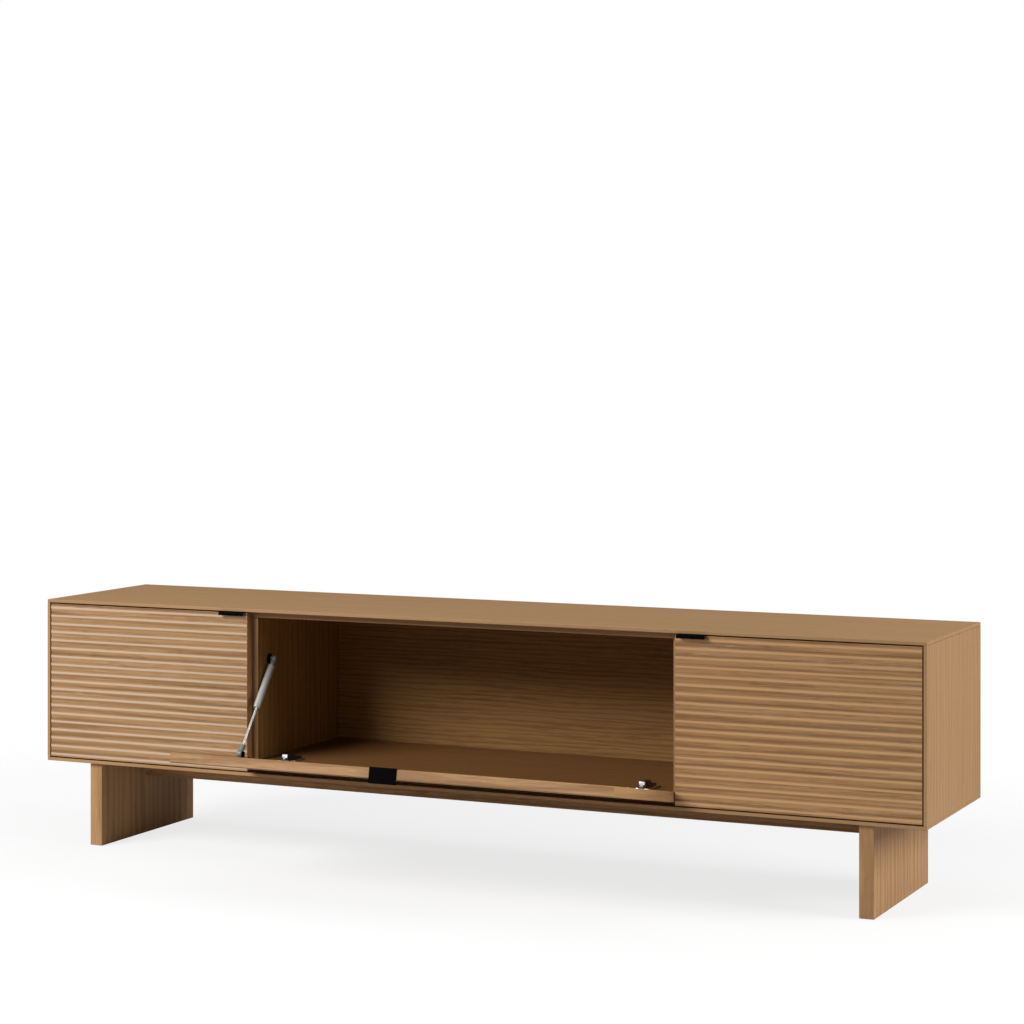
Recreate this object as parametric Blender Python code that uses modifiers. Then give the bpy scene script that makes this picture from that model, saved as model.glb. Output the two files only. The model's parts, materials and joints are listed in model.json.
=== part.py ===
"""A long, low oak media cabinet: two side doors, a drop-down middle flap and two slab legs.

Design frame, in metres: X along the cabinet, Y from the front face (0) to the back, Z up from
the floor. The whole model hangs on one empty, which brings the box of the cabinet with its flap
open to the middle of the origin. The flap is modelled closed and turned open about its hinge.
"""

import math

import bmesh
import bpy
from mathutils import Matrix, Vector

# ---------------------------------------------------------------- driving dimensions

CASE_WIDTH = 2.100
CASE_DEPTH = 0.420
CASE_HEIGHT = 0.375
LEG_HEIGHT = 0.191

SKIN = 0.007  # thin edge of the case that shows round the doors
TOP_BOARD = 0.021  # whole thickness of the top, skin included
FLOOR_BOARD = 0.032  # whole thickness of the bottom, skin included
SIDE_BOARD = 0.022
BACK_BOARD = 0.014
DIVIDER_BOARD = 0.022
SHELF_BOARD = 0.018
SHELF_SETBACK = 0.040  # from the front of the case's boards to the shelf's front edge
CENTRE_BAY = 1.000  # clear width between the dividers

DOOR_BOARD = 0.022
REVEAL = 0.003  # open gap round each door
BUFFER_GAP = 0.004  # from a closed door's inner face to the boards behind it
SWING_GAP = 0.007  # the same at the floor board, where the flap's lower corner swings past
RIB_PITCH = 0.01887
RIB_DEPTH = 0.0018
RIB_NOSE = 0.0052  # height of the rounded upper part of a rib
FIRST_RIB = 0.0026  # from the door's top edge to the first rib

FLAP_OPEN_DEG = 79.3
DOOR_OPEN_DEG = 95.0  # how far a side door opens
FLAP_AXIS_FROM_EDGE = 0.013  # the flap's hinge axis, above its lower edge
FLAP_AXIS_FROM_FACE = 0.0085  # and behind its outer face
SIDE_AXIS_FROM_EDGE = 0.010  # a side door's hinge axis, in from its outer edge
SIDE_AXIS_FROM_FACE = 0.0075  # and behind its outer face

PULL_WIDTH = 0.063
PULL_SHEET = 0.0015
PULL_REACH = 0.010  # how far a pull stands out of the door's face
PULL_LIP = 0.006
PULL_FLANGE = 0.016
PULL_BEND = 0.0008  # the slanted corner at a pull's front edge
PULL_FROM_EDGE = 0.0055

LEG_THICKNESS = 0.0315
LEG_INSET = 0.112  # from the end of the case to the leg's outer face
LEG_SETBACK = 0.010  # from the front, and the same from the back
RAIL_HEIGHT = 0.054
RAIL_THICKNESS = 0.024
GLIDE_RADIUS = 0.011
GLIDE_THICKNESS = 0.004
GLIDE_PROUD = 0.001
GLIDE_FROM_END = 0.050

CUP_RADIUS = 0.0172
CUP_WALL = 0.0012
CUP_DEPTH = 0.0128
CUP_FROM_EDGE = 0.0225
WING_SPAN = 0.056
WING_HEIGHT = 0.014
LINK_INNER = 0.0168  # the curved link's radii about the hinge axis
LINK_OUTER = 0.0200
LINK_WIDTH = 0.006
LINK_FROM_DEG = 20.0  # where the link starts, unless the door is too thick for that
LINK_CLEARANCE = 0.0008  # from the link to the cup, with the door closed or fully open
ARM_WIDTH = 0.013
ARM_LENGTH = 0.058
ARM_HEIGHT = 0.005
ARM_NOSE = 0.007  # from the hinge axis inwards to the arm's nose
ARM_CLEARANCE = 0.002  # between the arm and the fully open door
PLATE_LENGTH = 0.044
PLATE_WIDTH = 0.034
PLATE_THICKNESS = 0.0025
FLAP_HINGE_FROM_DIVIDER = 0.070
DOOR_HINGE_FROM_END = 0.075

STRUT_FROM_DIVIDER = 0.013
STRUT_TOP_Y = 0.076
STRUT_TOP_BELOW_CEILING = 0.098
STRUT_FOOT_FROM_EDGE = 0.102  # along the flap, from its hinged edge
STRUT_FOOT_HEIGHT = 0.010  # above the flap's inner face
TUBE_RADIUS = 0.0082
TUBE_WALL = 0.0012
TUBE_GUIDE = 0.008
TUBE_END = 0.002
ROD_RADIUS = 0.003
ROD_IN_TUBE = 0.010  # length of rod inside the tube when the flap is open
STRUT_CLOSED_GAP = 0.002  # between tube and lower fitting when the flap is closed
FITTING_RADIUS = 0.0075
FITTING_HALF = 0.0060  # half the width of a strut fitting
SHANK_RADIUS = 0.0064
SHANK_LENGTH = 0.021  # of the lower fitting
NECK_LENGTH = 0.009  # of the upper fitting, past its eye
STUD_RADIUS = 0.0025
BOSS_RADIUS = 0.006  # of the round bracket on the divider
DISC_RADIUS = 0.012
DISC_THICKNESS = 0.0022
FOOT_PLATE_LENGTH = 0.028  # of the flap's bracket, up the flap
FOOT_PLATE_WIDTH = 0.018
FOOT_PLATE_THICKNESS = 0.0018
EAR_THICKNESS = 0.0022
EAR_LENGTH = 0.012
EAR_PAST_STUD = 0.0050
BEVEL = 0.001  # on turned metal corners

SHELF_PIN_RADIUS = 0.0025
SHELF_PIN_HEAD = 0.0035
SHELF_PIN_DEPTH = 0.009
SHELF_PIN_OUT = 0.008
SHELF_PIN_INSET = 0.045

EDGE_ROUND = 0.0008
TOUCH = 0.0003  # gap between pieces that touch
PLAY = 0.0003  # gap round a piece that sits in a hole
STUD_PLAY = 0.0005

# ---------------------------------------------------------------- worked-out sizes

HALF_WIDTH = CASE_WIDTH / 2
CASE_BOTTOM = LEG_HEIGHT
CASE_TOP = LEG_HEIGHT + CASE_HEIGHT
CEILING_Z = CASE_TOP - TOP_BOARD
FLOOR_Z = CASE_BOTTOM + FLOOR_BOARD
BOARDS_FRONT = DOOR_BOARD + BUFFER_GAP
FLOOR_FRONT = DOOR_BOARD + SWING_GAP
BACK_FACE_Y = CASE_DEPTH - BACK_BOARD - TOUCH
SIDE_INNER_X = HALF_WIDTH - SIDE_BOARD
BAY_X = CENTRE_BAY / 2
DIVIDER_OUTER_X = BAY_X + DIVIDER_BOARD

DOOR_TOP = CASE_TOP - SKIN - REVEAL
DOOR_BOTTOM = CASE_BOTTOM + SKIN + REVEAL
DOOR_HEIGHT = DOOR_TOP - DOOR_BOTTOM
DOOR_OUTER_X = HALF_WIDTH - SKIN - REVEAL
SPLIT_X = BAY_X + DIVIDER_BOARD / 2 + REVEAL / 3  # middle of the gap between door and flap
DOOR_INNER_X = SPLIT_X + REVEAL / 2
FLAP_HALF = SPLIT_X - REVEAL / 2

SHELF_FRONT = BOARDS_FRONT + SHELF_SETBACK
STRUT_X = STRUT_FROM_DIVIDER - BAY_X
STRUT_TOP_Z = CEILING_Z - STRUT_TOP_BELOW_CEILING

LEG_X = HALF_WIDTH - LEG_INSET - LEG_THICKNESS / 2
LEG_DEPTH = CASE_DEPTH - 2 * LEG_SETBACK
FLAP_OPEN = math.radians(FLAP_OPEN_DEG)


def front_reach():
    """How far the open flap, with its pull, reaches in front of the case's front face."""
    up_the_flap = DOOR_HEIGHT - FLAP_AXIS_FROM_EDGE + TOUCH + PULL_SHEET
    out_of_the_flap = FLAP_AXIS_FROM_FACE + PULL_REACH - PULL_BEND
    tip = up_the_flap * math.sin(FLAP_OPEN) + out_of_the_flap * math.cos(FLAP_OPEN)
    return tip - FLAP_AXIS_FROM_FACE


MODEL_SHIFT_Y = (front_reach() - CASE_DEPTH) / 2

# ---------------------------------------------------------------- scene and materials

MATERIALS = {
    "oak": ((0.52, 0.35, 0.20, 1), 0.55, 0.0),
    "oak_ribbed": ((0.56, 0.38, 0.22, 1), 0.50, 0.0),
    "black_metal": ((0.015, 0.015, 0.016, 1), 0.45, 0.3),
    "nickel": ((0.72, 0.71, 0.69, 1), 0.25, 1.0),
    "grey_paint": ((0.55, 0.55, 0.53, 1), 0.35, 0.1),
    "steel": ((0.70, 0.70, 0.72, 1), 0.18, 1.0),
    "grey_plastic": ((0.20, 0.24, 0.22, 1), 0.45, 0.0),
    "nylon": ((0.10, 0.09, 0.08, 1), 0.60, 0.0),
}


def clear_scene():
    for item in list(bpy.data.objects):
        bpy.data.objects.remove(item, do_unlink=True)
    for mesh in list(bpy.data.meshes):
        bpy.data.meshes.remove(mesh)


def new_collection(name, hidden=False):
    collection = bpy.data.collections.new(name)
    bpy.context.scene.collection.children.link(collection)
    collection.hide_render = hidden
    return collection


def make_material(name):
    colour, roughness, metallic = MATERIALS[name]
    material = bpy.data.materials.new(name)
    material.use_nodes = True
    shader = material.node_tree.nodes["Principled BSDF"]
    shader.inputs["Base Color"].default_value = colour
    shader.inputs["Roughness"].default_value = roughness
    shader.inputs["Metallic"].default_value = metallic
    material.diffuse_color = colour
    return material


def make_empty(name, location, parent=None, turn_x=0.0):
    empty = bpy.data.objects.new(name, None)
    empty.empty_display_size = 0.05
    empty.location = location
    empty.rotation_euler.x = turn_x
    empty.parent = parent
    PARTS.objects.link(empty)
    return empty


def add_part(name, mesh, material, parent, location=(0, 0, 0)):
    part = bpy.data.objects.new(name, mesh)
    part.location = location
    part.parent = parent
    part.data.materials.clear()
    part.data.materials.append(PAINT[material])
    PARTS.objects.link(part)
    return part


# ---------------------------------------------------------------- mesh tools


def mesh_from(bm, name, smooth_deg=0):
    bmesh.ops.recalc_face_normals(bm, faces=bm.faces)
    mesh = bpy.data.meshes.new(name)
    bm.to_mesh(mesh)
    bm.free()
    if smooth_deg:
        mesh.shade_smooth()
        mesh.set_sharp_from_angle(angle=math.radians(smooth_deg))
    return mesh


def box_mesh(name, low, high):
    size = [high[i] - low[i] for i in range(3)]
    middle = [(high[i] + low[i]) / 2 for i in range(3)]
    bm = bmesh.new()
    bmesh.ops.create_cube(bm, size=1.0)
    bmesh.ops.scale(bm, vec=size, verts=bm.verts)
    bmesh.ops.translate(bm, vec=middle, verts=bm.verts)
    return mesh_from(bm, name)


def bar_mesh(name, start, end, radius, sides=24):
    """A round bar between two points."""
    start, end = Vector(start), Vector(end)
    along = end - start
    turn = along.to_track_quat("Z", "Y").to_matrix().to_4x4()
    place = Matrix.Translation((start + end) / 2) @ turn
    bm = bmesh.new()
    bmesh.ops.create_cone(
        bm,
        cap_ends=True,
        segments=sides,
        radius1=radius,
        radius2=radius,
        depth=along.length,
        matrix=place,
    )
    return mesh_from(bm, name, smooth_deg=40)


def turned_mesh(name, profile, start, direction, sides=24):
    """A turned shape: the (radius, height) profile spun about an axis through start."""
    bm = bmesh.new()
    points = [bm.verts.new((radius, 0, height)) for radius, height in profile]
    edges = [bm.edges.new(pair) for pair in zip(points, points[1:])]
    bmesh.ops.spin(
        bm,
        geom=points + edges,
        cent=(0, 0, 0),
        axis=(0, 0, 1),
        angle=math.tau,
        steps=sides,
        use_merge=True,
    )
    bmesh.ops.remove_doubles(bm, verts=bm.verts, dist=1e-6)
    turn = Vector(direction).to_track_quat("Z", "Y").to_matrix().to_4x4()
    bmesh.ops.transform(bm, matrix=Matrix.Translation(start) @ turn, verts=bm.verts)
    return mesh_from(bm, name, smooth_deg=40)


def extruded_mesh(name, outline, half_length, place):
    """A flat outline in its own XY plane, extruded both ways along Z, then placed."""
    curve = bpy.data.curves.new(name + "_outline", "CURVE")
    curve.dimensions = "2D"
    curve.fill_mode = "BOTH"
    curve.extrude = half_length
    spline = curve.splines.new("POLY")
    spline.points.add(len(outline) - 1)
    for point, (x, y) in zip(spline.points, outline):
        point.co = (x, y, 0, 1)
    spline.use_cyclic_u = True
    helper = bpy.data.objects.new(name + "_outline", curve)
    PARTS.objects.link(helper)
    graph = bpy.context.evaluated_depsgraph_get()
    flat = bpy.data.meshes.new_from_object(helper.evaluated_get(graph))
    bpy.data.objects.remove(helper, do_unlink=True)
    bm = bmesh.new()
    bm.from_mesh(flat)
    bpy.data.meshes.remove(flat)
    bmesh.ops.remove_doubles(bm, verts=bm.verts, dist=1e-6)
    bmesh.ops.transform(bm, matrix=place, verts=bm.verts)
    return mesh_from(bm, name)


def boolean(part, mesh, operation):
    """Joins a helper solid to the part, or cuts it out of the part."""
    number = len(part.modifiers) + 1
    helper = bpy.data.objects.new(f"{part.name}_{operation.lower()}_{number}", mesh)
    helper.parent = part.parent
    helper.location = part.location
    helper.hide_render = True
    helper.display_type = "WIRE"
    CUTTERS.objects.link(helper)
    modifier = part.modifiers.new(f"{operation.lower()}_{number}", "BOOLEAN")
    modifier.operation = operation
    modifier.solver = "EXACT"
    modifier.object = helper
    return part


def round_edges(part, width=EDGE_ROUND, segments=2):
    bevel = part.modifiers.new("round_edges", "BEVEL")
    bevel.width = width
    bevel.segments = segments
    bevel.limit_method = "ANGLE"
    bevel.angle_limit = math.radians(40)
    return part


# ---------------------------------------------------------------- case


def add_board(name, skin_box, core_box):
    """A board whose outer skin runs past its thicker core, so that its edges show thin."""
    part = add_part(name, box_mesh(name, *skin_box), "oak", CASE)
    boolean(part, box_mesh(name + "_core", *core_box), "UNION")
    return part


def make_top_and_bottom():
    core_end = SIDE_INNER_X - TOUCH
    sunk = SKIN / 2
    top = add_board(
        "top_panel",
        ((-HALF_WIDTH, 0, CASE_TOP - SKIN), (HALF_WIDTH, CASE_DEPTH, CASE_TOP)),
        ((-core_end, BOARDS_FRONT, CEILING_Z), (core_end, BACK_FACE_Y, CASE_TOP - sunk)),
    )
    bottom = add_board(
        "bottom_panel",
        ((-HALF_WIDTH, 0, CASE_BOTTOM), (HALF_WIDTH, CASE_DEPTH, CASE_BOTTOM + SKIN)),
        (
            (-core_end, FLOOR_FRONT, CASE_BOTTOM + sunk),
            (core_end, BACK_FACE_Y, FLOOR_Z),
        ),
    )
    round_edges(top)
    round_edges(bottom)


def make_sides():
    low = CASE_BOTTOM + SKIN + TOUCH
    high = CASE_TOP - SKIN - TOUCH
    for name, side in (("left_side_panel", -1), ("right_side_panel", 1)):
        skin = sorted((side * HALF_WIDTH, side * (HALF_WIDTH - SKIN)))
        core = sorted((side * (HALF_WIDTH - SKIN / 2), side * SIDE_INNER_X))
        panel = add_board(
            name,
            ((skin[0], 0, low), (skin[1], CASE_DEPTH, high)),
            ((core[0], BOARDS_FRONT, low + TOUCH), (core[1], BACK_FACE_Y, high - TOUCH)),
        )
        for y in shelf_pin_rows():
            drill_shelf_pin(panel, side * SIDE_INNER_X, y, side)
        round_edges(panel)


def make_dividers():
    for name, side in (("left_divider", -1), ("right_divider", 1)):
        faces = sorted((side * BAY_X, side * DIVIDER_OUTER_X))
        low = (faces[0], BOARDS_FRONT, FLOOR_Z + TOUCH)
        high = (faces[1], BACK_FACE_Y - TOUCH, CEILING_Z - TOUCH)
        divider = add_part(name, box_mesh(name, low, high), "oak", CASE)
        for y in shelf_pin_rows():
            drill_shelf_pin(divider, side * DIVIDER_OUTER_X, y, -side)
        round_edges(divider)


def make_back():
    inset = SKIN + TOUCH
    low = (-HALF_WIDTH + inset, BACK_FACE_Y + TOUCH, CASE_BOTTOM + inset)
    high = (HALF_WIDTH - inset, CASE_DEPTH - TOUCH, CASE_TOP - inset)
    round_edges(add_part("back_panel", box_mesh("back_panel", low, high), "oak", CASE))


# ---------------------------------------------------------------- shelves


def shelf_pin_rows():
    return (SHELF_FRONT + SHELF_PIN_INSET, BACK_FACE_Y - SHELF_PIN_INSET)


def shelf_pin_z():
    return (FLOOR_Z + CEILING_Z) / 2


def drill_shelf_pin(panel, face_x, y, inward):
    """A blind hole into the panel from its face, towards inward (+1 or -1 along X)."""
    start = (face_x - inward * 0.001, y, shelf_pin_z())
    end = (face_x + inward * (SHELF_PIN_DEPTH + PLAY), y, shelf_pin_z())
    hole = bar_mesh(panel.name + "_pin_hole", start, end, SHELF_PIN_RADIUS + PLAY, sides=16)
    boolean(panel, hole, "DIFFERENCE")


def make_shelf_pin(name, face_x, y, inward):
    start = (face_x + inward * SHELF_PIN_DEPTH, y, shelf_pin_z())
    whole = SHELF_PIN_DEPTH + SHELF_PIN_OUT
    profile = [
        (0, whole),
        (SHELF_PIN_HEAD, whole),
        (SHELF_PIN_HEAD, SHELF_PIN_DEPTH + TOUCH),
        (SHELF_PIN_RADIUS, SHELF_PIN_DEPTH + TOUCH),
        (SHELF_PIN_RADIUS, 0),
        (0, 0),
    ]
    mesh = turned_mesh(name, profile, start, (-inward, 0, 0), sides=16)
    add_part(name, mesh, "nickel", CASE)


def make_shelves():
    for side_name, side in (("left", -1), ("right", 1)):
        outer = side * (SIDE_INNER_X - 4 * TOUCH)
        inner = side * (DIVIDER_OUTER_X + 4 * TOUCH)
        bottom = shelf_pin_z() + SHELF_PIN_HEAD + TOUCH
        low = (min(outer, inner), SHELF_FRONT, bottom)
        high = (max(outer, inner), BACK_FACE_Y - 4 * TOUCH, bottom + SHELF_BOARD)
        name = side_name + "_shelf"
        round_edges(add_part(name, box_mesh(name, low, high), "oak", CASE))
        walls = (("outer", SIDE_INNER_X, side), ("inner", DIVIDER_OUTER_X, -side))
        for row, y in zip(("front", "back"), shelf_pin_rows()):
            for wall, face, inward in walls:
                pin = f"{side_name}_shelf_pin_{wall}_{row}"
                make_shelf_pin(pin, side * face, y, inward)


# ---------------------------------------------------------------- doors


def rib_recess(drop):
    """How far the ribbed face lies behind the crests, at a distance below the door's top."""
    place = (drop - FIRST_RIB) % RIB_PITCH
    if place < RIB_NOSE:
        return RIB_DEPTH * (1 - math.sqrt(1 - (1 - place / RIB_NOSE) ** 2))
    return RIB_DEPTH * (place - RIB_NOSE) / (RIB_PITCH - RIB_NOSE)


def ribbed_outline():
    """The door's section as (depth, height) points about the hinge axis's Y and the door's top."""
    steps = [0.0, 0.12, 0.4, 1.0]
    nose = [RIB_NOSE * step for step in steps]
    slope = [RIB_NOSE + (RIB_PITCH - RIB_NOSE) * step for step in (0.35, 0.7)]
    drops = [0.0]
    rib = FIRST_RIB
    while rib < DOOR_HEIGHT:
        just_above = rib - RIB_PITCH * 1e-3
        drops += [just_above] + [rib + place for place in nose + slope]
        rib += RIB_PITCH
    drops = [drop for drop in drops if drop < DOOR_HEIGHT - 5e-4] + [DOOR_HEIGHT]
    front = [(rib_recess(drop), -drop) for drop in drops]
    return front + [(DOOR_BOARD, -DOOR_HEIGHT), (DOOR_BOARD, 0)]


def make_leaf(name, low_x, high_x, leaf):
    """A ribbed door; its section runs along X."""
    along_x = Matrix(((0, 0, 1, 0), (1, 0, 0, 0), (0, 1, 0, 0), (0, 0, 0, 1)))
    middle = Vector(((low_x + high_x) / 2, 0, DOOR_TOP)) - leaf["pivot"]
    place = Matrix.Translation(middle) @ along_x
    mesh = extruded_mesh(name, ribbed_outline(), (high_x - low_x) / 2, place)
    door = add_part(name, mesh, "oak_ribbed", leaf["moving"])
    up = CUP_FROM_EDGE - leaf["edge"]
    for offset in leaf["hinges"]:
        mouth = about_axis(leaf, offset, leaf["face"] + 0.001, up)
        floor = about_axis(leaf, offset, leaf["face"] - CUP_DEPTH - PLAY, up)
        bore = bar_mesh(name + "_cup_bore", mouth, floor, CUP_RADIUS + PLAY, sides=40)
        boolean(door, bore, "DIFFERENCE")
    return door


def make_pull(name, centre_x, leaf):
    """A folded sheet-metal tab over the door's top edge."""
    sheet = PULL_SHEET
    front = -PULL_REACH
    inner = DOOR_BOARD + TOUCH
    outline = [
        (front, -PULL_LIP),
        (front, TOUCH + sheet - PULL_BEND),
        (front + PULL_BEND, TOUCH + sheet),
        (inner + sheet, TOUCH + sheet),
        (inner + sheet, -PULL_FLANGE),
        (inner, -PULL_FLANGE),
        (inner, TOUCH),
        (front + sheet, TOUCH),
        (front + sheet, -PULL_LIP),
    ]
    along_x = Matrix(((0, 0, 1, 0), (1, 0, 0, 0), (0, 1, 0, 0), (0, 0, 0, 1)))
    middle = Vector((centre_x, 0, DOOR_TOP)) - leaf["pivot"]
    place = Matrix.Translation(middle) @ along_x
    mesh = extruded_mesh(name, outline, PULL_WIDTH / 2, place)
    add_part(name, mesh, "black_metal", leaf["moving"])


# ---------------------------------------------------------------- cup hinges


def new_leaf(name, pivot, edge, face, axis, along, hinges, travel, open_angle):
    """A door's hinge line: where it is, its axes, the empties that turn, the hinges' places.

    edge and face are the distances from the axis to the door's hinged edge and inner face.
    """
    return {
        "pivot": Vector(pivot),
        "edge": edge,
        "face": face,
        "axis": Vector(axis),
        "inward": Vector((0, 1, 0)),
        "along": Vector(along),
        "hinges": hinges,
        "travel": travel,
        "moving": make_empty(name + "_axis", pivot, CASE, open_angle),
        "links": make_empty(name + "_link_axis", pivot, CASE, open_angle / 2),
    }


def about_axis(leaf, offset, inward, up):
    """A point about the pivot: along the hinge axis, inwards from it, and up the door."""
    return leaf["axis"] * offset + leaf["inward"] * inward + leaf["along"] * up


def leaf_box(name, leaf, low, high):
    """A box between two corners, each given as (offset, inward, up)."""
    corners = about_axis(leaf, *low), about_axis(leaf, *high)
    return box_mesh(name, [min(pair) for pair in zip(*corners)], [max(p) for p in zip(*corners)])


def section_place(leaf, offset):
    """Lays a section drawn as (inward, up) at a place along the hinge axis."""
    turn = Matrix((leaf["inward"], leaf["along"], leaf["axis"])).transposed().to_4x4()
    return Matrix.Translation(leaf["axis"] * offset) @ turn


def make_cup(name, leaf, offset):
    """The sunk cup, with a screw wing on each side of its rim."""
    up = CUP_FROM_EDGE - leaf["edge"]
    face = leaf["face"]
    inside = CUP_RADIUS - CUP_WALL
    profile = [
        (0, CUP_WALL),
        (inside, CUP_WALL),
        (inside, CUP_DEPTH),
        (CUP_RADIUS, CUP_DEPTH),
        (CUP_RADIUS, 0),
        (0, 0),
    ]
    start = about_axis(leaf, offset, face - CUP_DEPTH, up)
    mesh = turned_mesh(name, profile, start, leaf["inward"], sides=40)
    cup = add_part(name, mesh, "nickel", leaf["moving"])
    over = face + TOUCH
    for side in (-1, 1):
        near = offset + side * (inside + CUP_WALL / 3)
        rim = offset + side * (CUP_RADIUS - CUP_WALL / 3)
        far = offset + side * WING_SPAN / 2
        half = WING_HEIGHT / 2
        low = (near, over, up - half)
        wing = leaf_box(name + "_wing", leaf, low, (far, over + CUP_WALL, up + half))
        boolean(cup, wing, "UNION")
        low = (near, face - CUP_WALL, up - CUP_WALL)
        foot = leaf_box(name + "_foot", leaf, low, (rim, over + CUP_WALL / 2, up + CUP_WALL))
        boolean(cup, foot, "UNION")


def arc(radius, start_deg, end_deg, steps):
    turns = [start_deg + (end_deg - start_deg) * i / steps for i in range(steps + 1)]
    return [(radius * math.cos(math.radians(t)), radius * math.sin(math.radians(t))) for t in turns]


def link_start_deg(leaf):
    """Where the link starts, so that it clears the cup's rim with the door fully open."""
    half_open = leaf["travel"] / 2
    outside = LINK_INNER * math.cos(math.radians(LINK_FROM_DEG) - half_open)
    if outside > leaf["face"] + TOUCH:
        return LINK_FROM_DEG
    rim_up = CUP_FROM_EDGE - leaf["edge"] - CUP_RADIUS + CUP_WALL + LINK_CLEARANCE
    return math.degrees(half_open + math.asin(rim_up / LINK_OUTER))


def link_end_deg(leaf):
    """Where the link stops, so that it clears the cup's floor with the door closed."""
    floor_in = leaf["face"] - CUP_DEPTH + CUP_WALL + LINK_CLEARANCE
    return math.degrees(math.acos(floor_in / LINK_INNER))


def make_link(name, leaf, offset):
    """The curved link between cup and arm, which turns about the axis half as far as the door."""
    start = link_start_deg(leaf)
    end = link_end_deg(leaf)
    outline = arc(LINK_INNER, start, end, 8)
    outline += arc(LINK_OUTER, end, start, 8)
    mesh = extruded_mesh(name, outline, LINK_WIDTH / 2, section_place(leaf, offset))
    add_part(name, mesh, "nickel", leaf["links"])


def make_arm(name, leaf, offset, board_up):
    """The fixed arm, from its nose beside the link back over the mounting plate."""
    seat = board_up + PLATE_THICKNESS + 2 * TOUCH
    under = leaf["face"] + ARM_CLEARANCE
    top = under + ARM_HEIGHT
    nose = max(ARM_NOSE, leaf["face"] - CUP_DEPTH + CUP_WALL + LINK_CLEARANCE)
    crank = LINK_OUTER + 0.0045
    back = crank + ARM_LENGTH
    outline = [
        (nose + 0.003, top),
        (nose, top - 0.003),
        (nose, under),
        (crank, under),
        (crank + 0.003, seat),
        (back, seat),
        (back, seat + ARM_HEIGHT * 0.6),
        (back - 0.012, seat + ARM_HEIGHT),
        (crank + 0.016, seat + ARM_HEIGHT),
        (crank + 0.004, top),
    ]
    mesh = extruded_mesh(name, outline, ARM_WIDTH / 2, section_place(leaf, offset))
    arm = add_part(name, mesh, "nickel", CASE, leaf["pivot"])
    slot = LINK_WIDTH / 2 + PLAY
    low = (offset - slot, 0, 0)
    high = (offset + slot, LINK_OUTER + 4 * TOUCH, top + 0.01)
    boolean(arm, leaf_box(name + "_slot", leaf, low, high), "DIFFERENCE")


def make_plate(name, leaf, offset, board_up):
    """The mounting plate, screwed to the case under the arm."""
    front = LINK_OUTER + 0.014
    low = (offset - PLATE_WIDTH / 2, front, board_up + TOUCH)
    high = (offset + PLATE_WIDTH / 2, front + PLATE_LENGTH, board_up + TOUCH + PLATE_THICKNESS)
    plate = add_part(name, leaf_box(name, leaf, low, high), "nickel", CASE, leaf["pivot"])
    round_edges(plate, 0.0005)


def make_hinges(prefix, places, leaf, board_up):
    """board_up is the case board's surface, measured up the door from the hinge axis."""
    for place, offset in zip(places, leaf["hinges"]):
        make_cup(f"{prefix}_hinge_cup_{place}", leaf, offset)
        make_link(f"{prefix}_hinge_link_{place}", leaf, offset)
        make_arm(f"{prefix}_hinge_arm_{place}", leaf, offset, board_up)
        make_plate(f"{prefix}_hinge_plate_{place}", leaf, offset, board_up)


# ---------------------------------------------------------------- gas strut


def strut_foot(flap, angle):
    """The strut's pivot on the flap, with the flap turned open by angle."""
    inward = flap["face"] + STRUT_FOOT_HEIGHT
    up = STRUT_FOOT_FROM_EDGE - flap["edge"]
    foot = flap["pivot"] + Matrix.Rotation(angle, 3, "X") @ Vector((0, inward, up))
    foot.x = STRUT_X
    return foot


def make_strut(flap):
    foot = strut_foot(flap, FLAP_OPEN)
    head = Vector((STRUT_X, STRUT_TOP_Y, STRUT_TOP_Z))
    up = (head - foot).normalized()
    head_length = FITTING_RADIUS + NECK_LENGTH
    closed_length = (head - strut_foot(flap, 0)).length
    tube_length = closed_length - SHANK_LENGTH - head_length - STRUT_CLOSED_GAP
    tube_top = (head - foot).length - head_length
    axis = make_empty("strut_axis", foot, CASE)
    make_fitting("strut_foot_fitting", axis, up * 0, up * SHANK_LENGTH, hole=True)
    make_fitting("strut_head_fitting", axis, head - foot, up * (tube_top + TOUCH), hole=False)
    make_tube(axis, up, tube_top, tube_length)
    rod_end = tube_top - tube_length + ROD_IN_TUBE
    rod = bar_mesh("strut_rod", up * (SHANK_LENGTH + TOUCH), up * rod_end, ROD_RADIUS)
    add_part("strut_rod", rod, "steel", axis)
    make_case_bracket(head)
    make_flap_bracket(flap)


def make_fitting(name, parent, eye, shank_end, hole):
    """A strut's end: a round eye across the strut and a shank along it."""
    across = Vector((FITTING_HALF, 0, 0))
    fitting = add_part(
        name,
        bar_mesh(name, eye - across, eye + across, FITTING_RADIUS),
        "grey_plastic",
        parent,
    )
    boolean(fitting, bar_mesh(name + "_shank", eye, shank_end, SHANK_RADIUS), "UNION")
    if hole:
        tool = bar_mesh(name + "_hole", eye - 3 * across, eye + 3 * across, STUD_RADIUS + STUD_PLAY)
        boolean(fitting, tool, "DIFFERENCE")


def make_tube(parent, up, tube_top, length):
    """The closed cylinder, open only where the rod enters through its guide."""
    bore = ROD_RADIUS + PLAY
    inside = TUBE_RADIUS - TUBE_WALL
    profile = [
        (0, 0),
        (TUBE_RADIUS - BEVEL, 0),
        (TUBE_RADIUS, BEVEL),
        (TUBE_RADIUS, length - TUBE_WALL),
        (TUBE_RADIUS - TUBE_WALL, length),
        (bore, length),
        (bore, length - TUBE_GUIDE),
        (inside, length - TUBE_GUIDE),
        (inside, TUBE_END),
        (0, TUBE_END),
    ]
    mesh = turned_mesh("strut_tube", profile, up * tube_top, -up)
    add_part("strut_tube", mesh, "grey_paint", parent)


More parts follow.
